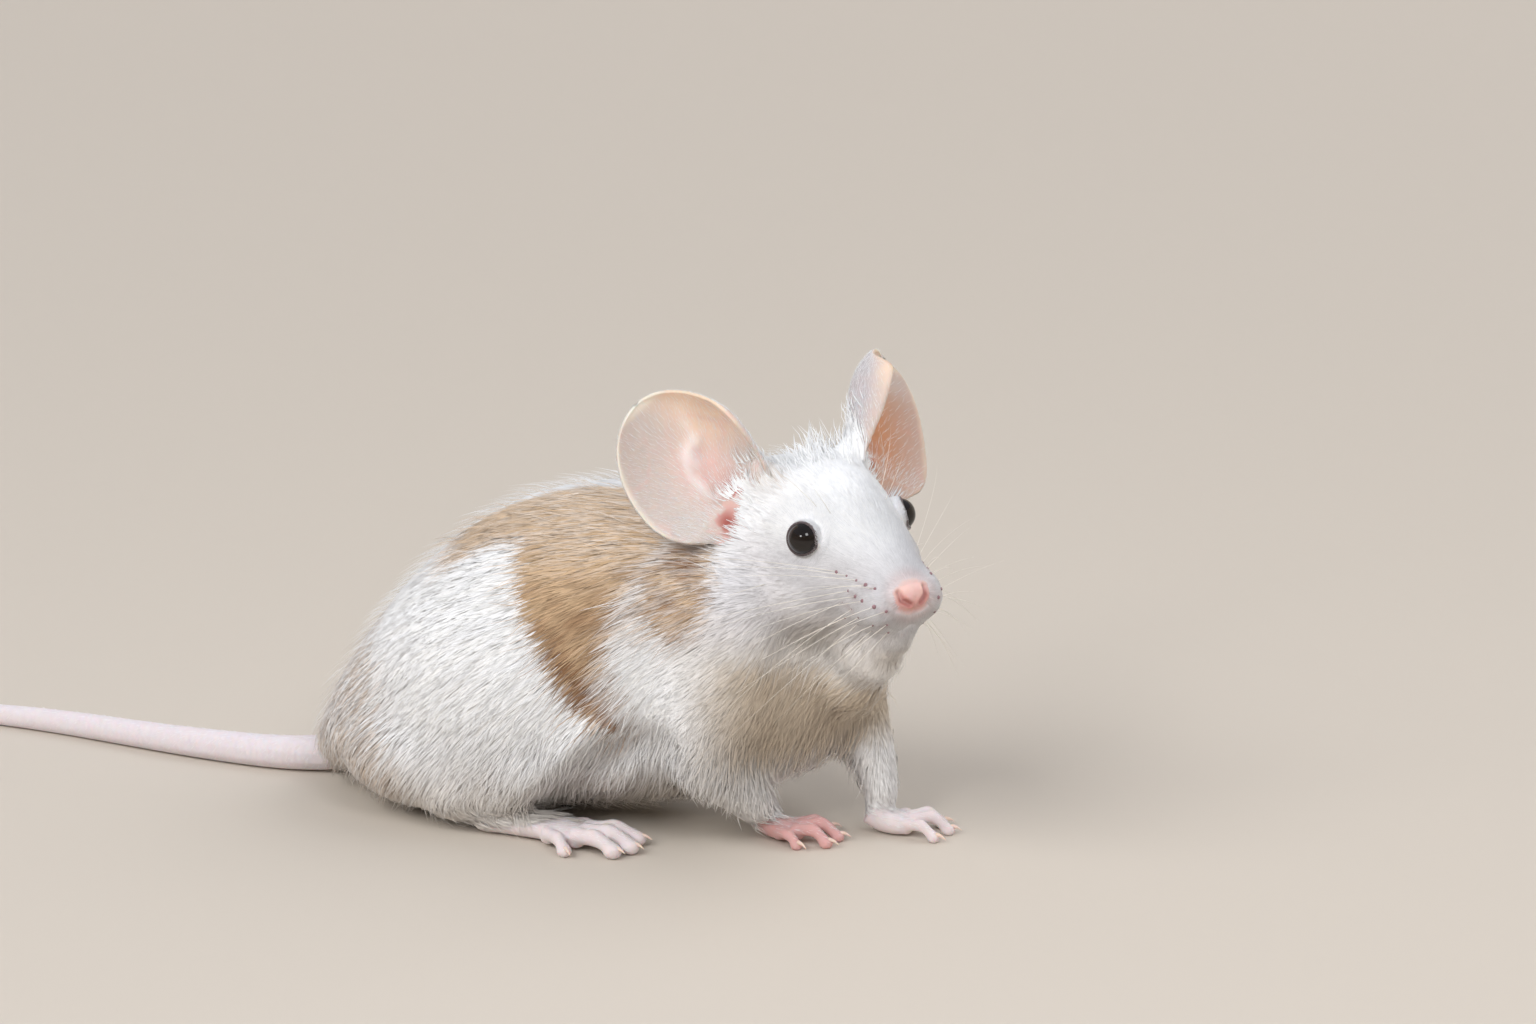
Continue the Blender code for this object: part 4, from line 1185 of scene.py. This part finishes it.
def coat_pieces(name, field, faces, shares, laid, tone, root_shade=0.9):
    """Joins laid tufts into pieces of at most COAT_PIECE_TRIANGLES triangles each."""
    rings, tips, shade = laid
    straight = rings.shape[1] == 3
    pattern = SPIKE_FACES if straight else LOCK_FACES
    along = np.array((0.0, 0.0, 0.0, 1.0) if straight else (0.0, 0.0, 0.0, 0.55, 0.55, 0.55, 1.0))
    # Each tuft is darker at its root by root_shade and a touch lighter at its tip: painted shade where roots
    # lie under other hair and a little painted light on the tips, and in fawn also the hair's own darker base.
    ramp = np.reshape(root_shade, (-1, 1)) * (1 - along) + 1.02 * along
    colours = tone[:, None] * ramp[:, :, None]
    uv = np.einsum("ijk,ij->ik", field.uv[faces], shares)
    across = np.array((-1.0, 1.0, 0.0, 0.0) if straight else (-1.0, 1.0, 0.0, -1.0, 1.0, 0.0, 0.0))
    spots = uv[:, None] + PATCH * np.stack((across, along * 2 - 1), 1)[None]
    each = COAT_PIECE_TRIANGLES // len(pattern)
    for number, start in enumerate(range(0, len(rings), each)):
        part = slice(start, start + each)
        item = tuft_mesh(f"{name}_{number + 1}", rings[part], tips[part], pattern, shade[part],
                         colours[part], spots[part])
        item.data.materials.append(bpy.data.materials["mouse_coat"])
        declare(item, "coat")


def tone_at(root, colours, rough, draw):
    """Colour of each tuft from its root, a little lighter or darker by chance, and its fawn."""
    share = markings(root)
    chance = draw.uniform(size=len(root))
    share = np.clip(share + (share * (1 - share)) * 3.0 * (chance - 0.5), 0, 1)
    tone = coat_tint(root, colours, share)
    local = into(HEAD, root)
    # Painted shade: the tufts round each eye are darkened towards the lid colour, as shade in the eye's
    # socket.
    for side in (-1, 1):
        angle, distance, _, _, opening = eye_angles(local, side)
        ring = smooth(opening + 34, opening + 6, angle)
        ring = ring * smooth(EYE_RADIUS + 1.7, EYE_RADIUS + 0.3, distance)
        tone = mixed(tone, srgb(colours.lid), 0.24 * ring)
    half = folded(local)
    line = np.min([path_distance(half, row[:2]) for row in WHISKER_ROWS[:3]], axis=0)
    tone = mixed(tone, srgb(colours.nostril), 0.2 * blob(line, 0.45))
    muzzle = span(local, NOSE, (1.6, 1.3, 1.2))
    tone = mixed(tone, srgb(colours.nose), 0.4 * smooth(3.2, 1.5, muzzle))
    clump = 1 + 0.025 * ripple(root / MM, 1.6, 21) * (1 + 2.6 * share)
    spark = 1 + rough * (0.8 + share) * draw.normal(size=len(root))
    return np.clip(tone * (clump * spark)[:, None], 0.01, 0.97), share


def make_coat(settings, colours):
    """Tufts over the whole skin that bears hair: locks on the body, finer spikes on the face."""
    field = SkinField(bpy.data.objects["skin"])
    draw = np.random.default_rng(11)
    length = field.values["hair_length"]
    cover = (1 - smooth(0.35, 0.75, field.values["bare"])) * points_low(field)
    face = smooth(2.1 * MM, 1.8 * MM, length) * (field.values["head_share"] > 0.5)
    body = (1 - face) * (0.4 + 0.6 * smooth(-0.85, -0.4, field.normals[:, 2]))
    # Name, share of the places, width at no length and more by length, layers, rise of the
    # tips by length, most rise in millimetres, spread of tone.
    kinds = (
        ("coat_face", face, 0.09, 0.035, settings.cover * 1.4, 0.27, 0.5, 0.09),
        ("undercoat", body, 0.07, 0.028, settings.cover * 0.48, 0.08, 0.4, 0.035),
        ("coat", body, 0.068, 0.027, settings.cover * 0.56, 0.15, 0.7, 0.035),
    )
    for name, share, base, more, layers, rise, most, rough in kinds:
        straight = name != "coat"
        width = base * MM + more * length
        per_corner = layers / ((0.5 if straight else 0.62) * length * width) * cover * share
        faces, shares = field.spread(per_corner[field.corners].mean(1), draw)
        own_length = field.at(length, faces, shares) * draw.uniform(0.78, 1.12, len(faces))
        own_width = field.at(width, faces, shares) * draw.uniform(0.7, 1.3, len(faces))
        root = field.at(field.points, faces, shares)
        lift = np.minimum(rise * own_length, most * MM) * draw.uniform(0.6, 1.0, len(faces))
        lift *= 0.5 + 0.6 * smooth(25.0, 11.0, root[:, 2] / MM)
        lean = 0.055 * np.stack([ripple(root / MM, 4.2, 31 + k) for k in range(3)], 1)
        lean += draw.normal(0, 0.07, (len(faces), 3))
        laid = lay_tufts(field, faces, shares, own_length, own_width, lift, lean, draw, straight)
        along = field.at(field.values["flow"], faces, shares) * (0.55 * own_length)[:, None]
        tone, fawn = tone_at(root + along, colours, rough, draw)
        coat_pieces(name, field, faces, shares, laid, tone, 0.98 - 0.2 * fawn)
    make_down(field, colours, draw)
    make_guard_hairs(field, colours, draw)
    make_fringe(field, colours, draw)
    make_wisps(field, colours, draw)


def make_fringe(field, colours, draw):
    """Soft hair that hangs from belly, elbows and chest."""
    x, _, z = (field.points / MM).T
    cover = (1 - smooth(0.2, 0.5, field.values["bare"])) * smooth(0.35, -0.2, field.normals[:, 2])
    cover *= smooth(3.0, 5.0, z) * smooth(19.0, 11.0, z) * smooth(30.0, 44.0, x)
    cover *= np.maximum(smooth(5.5, 9.0, z), smooth(58.0, 56.0, x))
    faces, shares = field.spread((5.0 / MM ** 2 * cover)[field.corners].mean(1), draw)
    length = draw.uniform(2.4, 4.2, len(faces)) * MM
    width = draw.uniform(0.08, 0.15, len(faces)) * MM
    lean = draw.normal(0, 0.2, (len(faces), 3)) + (0.0, 0.0, -0.8)
    lift = length * draw.uniform(0.1, 0.5, len(faces))
    laid = lay_tufts(field, faces, shares, length, width, lift, lean, draw, False)
    tone, _ = tone_at(field.at(field.points, faces, shares), colours, 0.05, draw)
    coat_pieces("fringe", field, faces, shares, laid, tone, 0.95)


def make_down(field, colours, draw):
    """Short fine hairs that lie on ears, feet and tail."""
    faces, shares = field.spread((field.values["down"] / MM ** 2)[field.corners].mean(1), draw)
    length = draw.uniform(0.8, 1.5, len(faces)) * MM
    width = draw.uniform(0.05, 0.085, len(faces)) * MM
    lean = draw.normal(0, 0.16, (len(faces), 3))
    laid = lay_tufts(field, faces, shares, length, width, 0.16 * length, lean, draw, True)
    tone = srgb(colours.white) * (1 + 0.05 * draw.normal(size=(len(faces), 1)))
    coat_pieces("down", field, faces, shares, laid, np.clip(tone, 0, 0.97), 0.97)


def make_guard_hairs(field, colours, draw):
    """Single longer hairs that stand a little out of the coat."""
    length = field.values["hair_length"]
    cover = (1 - smooth(0.2, 0.5, field.values["bare"])) * points_low(field)
    cover = cover * smooth(1.6 * MM, 2.4 * MM, length)
    faces, shares = field.spread((0.75 / MM ** 2 * cover)[field.corners].mean(1), draw)
    own_length = field.at(length, faces, shares) * draw.uniform(1.0, 1.35, len(faces))
    width = draw.uniform(0.05, 0.08, len(faces)) * MM
    lift = own_length * draw.uniform(0.2, 0.42, len(faces))
    lean = draw.normal(0, 0.16, (len(faces), 3))
    laid = lay_tufts(field, faces, shares, own_length, width, lift, lean, draw, False)
    tone, _ = tone_at(field.at(field.points, faces, shares), colours, 0.03, draw)
    coat_pieces("guard_hairs", field, faces, shares, laid, tone, 0.95)


# Wisps of longer hair: middle and spread of the roots, way and length in head millimetres
# on the left side, count, and on which sides.
WISPS = (
    ((-7.4, 10.0, -0.4), 1.7, (-0.85, 0.25, 0.35), 3.4, 60, (-1, 1)),
    ((-6.6, 8.4, 3.2), 1.8, (-0.8, 0.45, 0.45), 2.4, 40, (-1, 1)),
    ((-7.6, 6.4, 7.6), 1.6, (-0.7, 0.1, 0.75), 2.2, 24, (-1, 1)),
    ((-10.4, 4.0, 5.4), 2.6, (-0.35, 0.2, 1.0), 3.0, 48, (1,)),
    ((-9.4, 6.4, 7.6), 3.0, (-0.45, 0.0, 0.95), 2.6, 48, (1,)),
    ((-10.4, 4.0, 5.4), 2.2, (-0.6, 0.3, 0.8), 2.2, 30, (-1,)),
    ((-8.0, 1.0, 6.2), 3.4, (-0.8, 0.1, 0.8), 2.5, 60, (-1, 1)),
    ((-10.8, 3.4, 5.8), 2.0, (-0.35, -0.05, 1.0), 4.6, 44, (1,)),
    ((-12.5, 8.0, 3.4), 3.2, (-0.45, 0.4, 0.8), 2.8, 44, (-1, 1)),
)


def make_wisps(field, colours, draw):
    """Longer hairs across the ear canals, at the ears' roots and on the crown."""
    roots, ways, lengths = [], [], []
    for centre, spread, way, length, count, sides in WISPS:
        for side in sides:
            flip = np.array((1, side, 1))
            roots.append((np.array(centre) + draw.normal(0, spread / 2, (count, 3))) * flip)
            ways.append((np.array(way) + draw.normal(0, 0.2, (count, 3))) * flip)
            lengths.append(length * draw.uniform(0.55, 1.1, count))
    root, faces = field.drop_to_skin(out_of(HEAD, np.concatenate(roots)))
    shares = np.full((len(faces), 3), 1 / 3)
    root = root - 0.05 * MM * unit(field.face_mean(field.normals, faces))
    way = turned(HEAD, np.concatenate(ways))
    reach = np.concatenate(lengths)[:, None] * MM
    side = unit(np.cross(turned(HEAD, [(0.3, 0.2, 1.0)]), way))
    top = np.cross(way, side)
    width = draw.uniform(0.05, 0.09, (len(root), 1)) * MM
    normal = unit(field.face_mean(field.normals, faces))
    kept = (way * normal).sum(1) > 0.0
    root, faces, shares, normal, way, reach, side, top, width = (
        rows[kept] for rows in (root, faces, shares, normal, way, reach, side, top, width))
    sag = normal * reach * -0.12
    middle = root + way * reach * 0.55 - sag * 0.5
    rings = [root - side * width, root + side * width, root + top * width]
    rings += [middle - side * width * 0.7, middle + side * width * 0.7, middle + top * width * 0.7]
    around = (-side - 0.5 * top, side - 0.5 * top, top)
    shade = np.stack([unit(out + 0.35 * normal) for out in (*around, *around, way)], 1)
    tone, _ = tone_at(root, colours, 0.03, draw)
    laid = (np.stack(rings, 1), root + way * reach + sag, shade)
    coat_pieces("wisps", field, faces, shares, laid, tone, 0.96)


def points_low(field):
    """Keeps hair off the parts that touch the floor."""
    return smooth(0.2 * MM, 0.9 * MM, field.points[:, 2])


def make_eyes():
    """Smooth glossy eyeballs with a slight bulge of the cornea, a little inside the solids'."""
    material = mottled_material("mouse_eye", 0.04, (0.0015, 0.001, 0.001), (0.012, 0.006, 0.004), 700.0)
    for node_name, side in zip(EYES, (-1, 1)):
        centre = centre_of(node_name)
        axis = turned(HEAD, [(EYE_AXIS[0], side * EYE_AXIS[1], EYE_AXIS[2])])[0]
        bm = bmesh.new()
        bmesh.ops.create_uvsphere(bm, u_segments=64, v_segments=40, radius=(EYE_RADIUS - 0.03) * MM)
        for vert in bm.verts:
            facing = vert.co.normalized().z
            vert.co *= 1 + 0.035 * float(smooth(0.55, 1.0, facing))
        turn = Vector((0, 0, 1)).rotation_difference(Vector(axis)).to_matrix().to_4x4()
        bmesh.ops.transform(bm, matrix=Matrix.Translation(centre) @ turn, verts=bm.verts)
        finish_piece(bm, "eyeball_" + node_name[-1], material, "eye", node_name)


def make_claws():
    """Small curved claws at the toes' ends."""
    bm = bmesh.new()
    for node_name, _, toes, _, turn, heel in FEET:
        place = foot_place(node_name, turn, heel)
        for _, knuckle, tip, radius in toes_for(toes, node_name):
            knuckle, tip = Vector(knuckle), Vector(tip)
            ahead = tip - knuckle
            ahead.z = 0
            ahead.normalize()
            start = tip + ahead * radius * 0.55 + Vector((0, 0, 0.34))
            rows = []
            for t in (0.0, 0.25, 0.5, 0.75, 1.0):
                spot = start + ahead * CLAW_LENGTH * t * 0.95 + Vector((0, 0, 0.16 * t - 0.62 * t * t))
                rows.append((*spot, CLAW_RADIUS * (1 - 0.86 * t ** 1.4)))
            add_tube(bm, rows, 10, place, steps=2)
    bmesh.ops.recalc_face_normals(bm, faces=bm.faces)
    material = mottled_material(
        "mouse_claw", 0.3, srgb((0.86, 0.72, 0.66)), srgb((0.96, 0.90, 0.85)), 2500.0, 2.0,
        (1.0, 5.0, 5.0), Subsurface_Weight=0.3, Subsurface_Scale=0.0004)
    finish_piece(bm, "claws", material, "claw")


# Whiskers: rows on the pad, each first and last root in head millimetres on the left side.
WHISKER_ROWS = (
    ((9.7, 3.9, -3.9), (4.8, 5.9, -2.9), 5),
    ((11.2, 3.5, -6.4), (6.4, 5.6, -4.8), 5),
    ((10.8, 3.2, -8.1), (5.4, 5.6, -6.5), 5),
    ((9.6, 2.3, -9.4), (4.6, 4.6, -8.6), 4),
)
# Brow and cheek hairs: root and way on the left side, and length.
BROW_HAIRS = (
    ((2.6, 5.0, 4.2), (0.1, 0.5, 0.9), 7.5),
    ((0.6, 5.6, 4.6), (-0.3, 0.6, 0.9), 9.0),
    ((-3.5, 9.0, -5.5), (-0.5, 0.9, -0.2), 8.0),
)
WHISKER_BASE = 0.033
FOLLICLE = 0.23
WHISKER_SIDES = 5
WHISKER_STEPS = 12


def make_whiskers():
    """Long tapering whiskers that sweep out and back from the muzzle, and a few at the brow."""
    draw = np.random.default_rng(5)
    field_tree = BVHTree.FromObject(bpy.data.objects["skin"], bpy.context.evaluated_depsgraph_get())
    bm = bmesh.new()
    spots_bm = bmesh.new()
    for side in (-1, 1):
        for level, (first, last, count) in enumerate(WHISKER_ROWS):
            for number in range(count):
                t = number / (count - 1)
                root = Vector(first).lerp(Vector(last), t)
                length = 8.0 + 16.0 * t + draw.uniform(-1.5, 1.5)
                way = Vector((-0.2 - 0.7 * t, 0.95, 0.25 - 0.36 * level))
                way += Vector(draw.normal(0, 0.1, 3))
                add_whisker(bm, field_tree, root, way.normalized(), length, side, draw)
                spot = field_tree.find_nearest(HEAD @ (root * Vector((1, side, 1))))[0]
                size = FOLLICLE * (1.0 if level < 2 else 0.75) * draw.uniform(0.8, 1.15)
                add_ball(spots_bm, HEAD.inverted() @ spot, (size, size, size), HEAD, segments=10)
        for root, way, length in BROW_HAIRS:
            add_whisker(bm, field_tree, Vector(root), Vector(way).normalized(), length, side, draw)
    for made, name, roughness, dark, light, scale in (
            (bm, "whisker", 0.4, (0.90, 0.86, 0.80), (0.98, 0.97, 0.95), 300.0),
            (spots_bm, "follicle", 0.55, (0.50, 0.37, 0.39), (0.66, 0.53, 0.55), 800.0)):
        material = mottled_material("mouse_" + name, roughness, srgb(dark), srgb(light), scale)
        finish_piece(made, name + "s", material, "whisker")


def add_whisker(bm, tree, root, way, length, side, draw):
    """One hair from the skin nearest to root, bending back and down towards its tip."""
    flip = Vector((1, side, 1))
    start = HEAD.inverted() @ tree.find_nearest(HEAD @ (root * flip))[0]
    way = way * flip
    bend = Vector((-0.35, 0, -0.5)) + Vector(draw.normal(0, 0.12, 3))
    rows = []
    for step in range(WHISKER_STEPS + 1):
        t = step / WHISKER_STEPS
        place = HEAD @ (start + way * length * (t - 0.01) + bend * length * 0.32 * t * t)
        place.z = max(place.z, LOWEST)
        rows.append((*(HEAD.inverted() @ place), WHISKER_BASE * (1 - 0.85 * t)))
    add_tube(bm, rows, WHISKER_SIDES, HEAD)


def make_stage(settings):
    """Pale floor and backdrop, soft lights and the camera."""
    bm = bmesh.new()
    flat, wall, bend = 3.2, 1.4, 1.0
    profile = [(0.0, 0.0), (0.6, 0.0), (flat, 0.0)]
    profile += [(flat + bend * sin(radians(a)), bend - bend * cos(radians(a))) for a in range(10, 91, 10)]
    profile.append((flat + bend, bend + wall))
    corners = [bm.verts.new((outward, 0.0, up)) for outward, up in profile]
    rim = [bm.edges.new(pair) for pair in zip(corners, corners[1:])]
    bmesh.ops.spin(bm, geom=corners + rim, cent=(0, 0, 0), axis=(0, 0, 1), angle=2 * pi, steps=72,
                   use_merge=True)
    bmesh.ops.remove_doubles(bm, verts=bm.verts, dist=MM)
    bmesh.ops.recalc_face_normals(bm, faces=bm.faces)
    middle_face = min(bm.faces, key=lambda face: face.calc_center_median().length)
    if middle_face.normal.z < 0:
        bmesh.ops.reverse_faces(bm, faces=bm.faces)
    floor = object_from(bm, "floor")
    floor.data.shade_smooth()
    made, tree, shader = new_material("studio_floor", 0.7, settings.floor)
    noise = noise_node(tree, 60.0)
    bump = node(tree, "ShaderNodeBump", Strength=0.05, Distance=0.0002)
    tree.links.new(noise.outputs["Fac"], bump.inputs["Height"])
    tree.links.new(bump.outputs["Normal"], shader.inputs["Normal"])
    floor.data.materials.append(made)
    world = bpy.data.worlds.new("studio")
    world.use_nodes = True
    world.node_tree.nodes["Background"].inputs["Color"].default_value = (0.86, 0.90, 1.0, 1.0)
    world.node_tree.nodes["Background"].inputs["Strength"].default_value = settings.ambient
    bpy.context.scene.world = world
    low, high = CAD_BOX
    middle = (low + high) / 2
    for name, kind, place, size, power, colour in (
            ("key", "SUN", (-0.46, -0.84, 0.68), radians(50), settings.key, (1.0, 1.0, 1.0)),
            ("back", "SUN", (0.55, 0.5, 0.8), radians(50), settings.back, (0.97, 0.98, 1.0)),
            ("window", "AREA", (0.27, -0.20, 0.27), 0.11, settings.window, (1.0, 1.0, 1.0)),
            ("lamp", "AREA", (0.02, -0.42, 0.24), 0.09, settings.window, (1.0, 1.0, 1.0))):
        data = bpy.data.lights.new(name, kind)
        if kind == "SUN":
            data.angle = size
        else:
            data.size = size
        data.energy = power
        data.color = colour
        lamp = bpy.data.objects.new(name, data)
        lamp.location = middle + Vector(place)
        lamp.rotation_euler = (middle - lamp.location).to_track_quat("-Z", "Y").to_euler()
        lamp.visible_glossy = kind != "SUN"
        bpy.context.scene.collection.objects.link(lamp)
    camera = bpy.data.objects.new("camera", bpy.data.cameras.new("camera"))
    azimuth, elevation = radians(settings.azimuth), radians(settings.elevation)
    back = Vector((sin(azimuth) * cos(elevation), -cos(azimuth) * cos(elevation), sin(elevation)))
    camera.location = Vector(settings.target) + back * settings.distance
    camera.rotation_euler = (-back).to_track_quat("-Z", "Y").to_euler()
    camera.data.lens = settings.lens
    camera.data.sensor_width = 36.0
    camera.data.clip_start = 0.01
    camera.data.clip_end = 20.0
    bpy.context.scene.collection.objects.link(camera)
    bpy.context.scene.camera = camera
    bpy.context.scene.view_settings.view_transform = "Standard"


def display_colour(name, description, default):
    return FloatVectorProperty(name=name, description=description, subtype="COLOR_GAMMA",
                               default=default)


class MouseCoatSettings(PropertyGroup):
    """Sizes of the coat."""
    body_hair: FloatProperty(name="Body hair", description="Length of hair on back and flanks",
                             default=0.0042, unit="LENGTH")
    cover: FloatProperty(name="Cover", description="Layers of tufts over each place", default=8.0)


class MouseColourSettings(PropertyGroup):
    """Colours of coat and skin."""
    white: display_colour("White hair", "Main colour of the coat", (0.975, 0.98, 0.99))
    # Cream: warm hair of chest, jaw and belly, made darker to stand partly for painted warm shade under the
    # body.
    cream_with_painted_shade: display_colour("Cream hair", "Hair of chest, jaw and belly", (0.8, 0.735, 0.65))
    # Muzzle: painted cool shade on the cheeks and lower face.
    shade: display_colour("Muzzle", "Cool tint of the lower face", (0.85, 0.838, 0.85))
    fawn: display_colour("Fawn hair", "Hair of the markings", (0.83, 0.71, 0.57))
    brown: display_colour("Brown hair", "Darkest hair of the markings", (0.56, 0.42, 0.30))
    skin: display_colour("Skin", "Skin under the coat", (0.93, 0.79, 0.76))
    foot: display_colour("Feet", "Skin of the hind and left fore feet", (0.89, 0.845, 0.85))
    paw: display_colour("Right forepaw", "Skin of the right forepaw", (0.85, 0.67, 0.66))
    tail: display_colour("Tail", "Skin of the tail", (0.885, 0.85, 0.865))
    nose: display_colour("Nose", "Nose pad", (0.86, 0.68, 0.655))
    nostril: display_colour("Nostrils", "Inside of the nostrils and the lips", (0.60, 0.25, 0.22))
    # Eyelids: the lids' own dark rims, also used as painted shade in the fur round the eyes.
    lid: display_colour("Eyelids", "Rims of the eyelids", (0.24, 0.18, 0.19))
    ear: display_colour("Ear", "Inside of the ears", (0.83, 0.78, 0.75))
    ear_pink: display_colour("Ear middle", "Pink middle of the ears", (0.93, 0.79, 0.76))
    ear_peach: display_colour("Ear front", "Peach front inside the ears", (0.94, 0.84, 0.75))
    # Left ear: painted shade with light glowing through, put only into the left ear's hollow.
    left_ear_painted_shade: display_colour("Left ear", "Amber hollow of the left ear", (0.78, 0.55, 0.40))
    ear_rim: display_colour("Ear rim", "Thin rim of the ears", (0.97, 0.94, 0.88))
    ear_canal: display_colour("Ear canal", "Entrance of the ear canals", (0.68, 0.34, 0.30))
    ear_back: display_colour("Ear back", "Outside of the ears", (0.76, 0.735, 0.745))


class MouseStageSettings(PropertyGroup):
    """Studio."""
    azimuth: FloatProperty(name="Azimuth", description="Camera turn to the right of the side view, in degrees",
                           default=24.0)
    elevation: FloatProperty(name="Elevation", description="Camera height angle in degrees", default=15.0)
    distance: FloatProperty(name="Distance", description="Camera to target", default=0.42, unit="LENGTH")
    lens: FloatProperty(name="Lens", description="Focal length in millimetres", default=83.67)
    target: FloatVectorProperty(name="Target", description="What the camera looks at",
                                subtype="TRANSLATION", default=(0.05684, 0.00942, 0.035))
    floor: display_colour("Floor", "Colour of the floor", (0.80, 0.765, 0.72))
    key: FloatProperty(name="Key light", description="Strength of the main light from above", default=2.65)
    back: FloatProperty(name="Back light", description="Strength of the light from behind", default=1.1)
    window: FloatProperty(name="Window", description="Power of the lights that the eyes mirror", default=0.3)
    ambient: FloatProperty(name="Ambient", description="Strength of the light from all round", default=0.42)


class MOUSE_OT_skin(Operator):
    """Makes the one skin of body, head, ears, feet and tail"""
    bl_idname = "mouse.skin"
    bl_label = "Skin"

    def execute(self, context):
        skin = make_skin(context.scene.mouse_coat, context.scene.mouse_colours)
        skin.data.materials.clear()
        skin.data.materials.append(skin_material())
        declare(skin, "bare_skin", *COAT_DEPTH, *EARS)
        return {"FINISHED"}


class MOUSE_OT_eyes(Operator):
    """Makes the eyeballs"""
    bl_idname = "mouse.eyes"
    bl_label = "Eyes"

    def execute(self, context):
        make_eyes()
        return {"FINISHED"}


class MOUSE_OT_coat(Operator):
    """Lays the coat over the skin"""
    bl_idname = "mouse.coat"
    bl_label = "Coat"

    def execute(self, context):
        coat_material()
        make_coat(context.scene.mouse_coat, context.scene.mouse_colours)
        return {"FINISHED"}


class MOUSE_OT_whiskers(Operator):
    """Sets the whiskers in the muzzle and brow"""
    bl_idname = "mouse.whiskers"
    bl_label = "Whiskers"

    def execute(self, context):
        make_whiskers()
        return {"FINISHED"}


class MOUSE_OT_claws(Operator):
    """Puts a claw on each toe"""
    bl_idname = "mouse.claws"
    bl_label = "Claws"

    def execute(self, context):
        make_claws()
        return {"FINISHED"}


class MOUSE_OT_stage(Operator):
    """Sets up floor, lights and camera"""
    bl_idname = "mouse.stage"
    bl_label = "Studio"

    def execute(self, context):
        make_stage(context.scene.mouse_stage)
        return {"FINISHED"}


class VIEW3D_PT_mouse(Panel):
    """Shows the mouse's settings and a button for each step"""
    bl_label = "White and fawn mouse"
    bl_idname = "VIEW3D_PT_mouse"
    bl_space_type = "VIEW_3D"
    bl_region_type = "UI"
    bl_category = "Mouse"

    def draw(self, context):
        for group in ("mouse_coat", "mouse_colours", "mouse_stage"):
            settings = getattr(context.scene, group)
            for name in settings.__annotations__:
                self.layout.prop(settings, name)
        for step in STEPS:
            self.layout.operator(step.bl_idname)


STEPS = (MOUSE_OT_skin, MOUSE_OT_eyes, MOUSE_OT_coat, MOUSE_OT_whiskers, MOUSE_OT_claws, MOUSE_OT_stage)
GROUPS = {"mouse_coat": MouseCoatSettings, "mouse_colours": MouseColourSettings,
          "mouse_stage": MouseStageSettings}


def register():
    for item in (*GROUPS.values(), *STEPS, VIEW3D_PT_mouse):
        bpy.utils.register_class(item)
    for name, group in GROUPS.items():
        setattr(bpy.types.Scene, name, PointerProperty(type=group))


def unregister():
    for name in GROUPS:
        delattr(bpy.types.Scene, name)
    for item in reversed((*GROUPS.values(), *STEPS, VIEW3D_PT_mouse)):
        bpy.utils.unregister_class(item)


def main():
    register()
    for step in STEPS:
        getattr(bpy.ops.mouse, step.bl_idname.split(".")[1])()


if __name__ == "__main__":
    main()
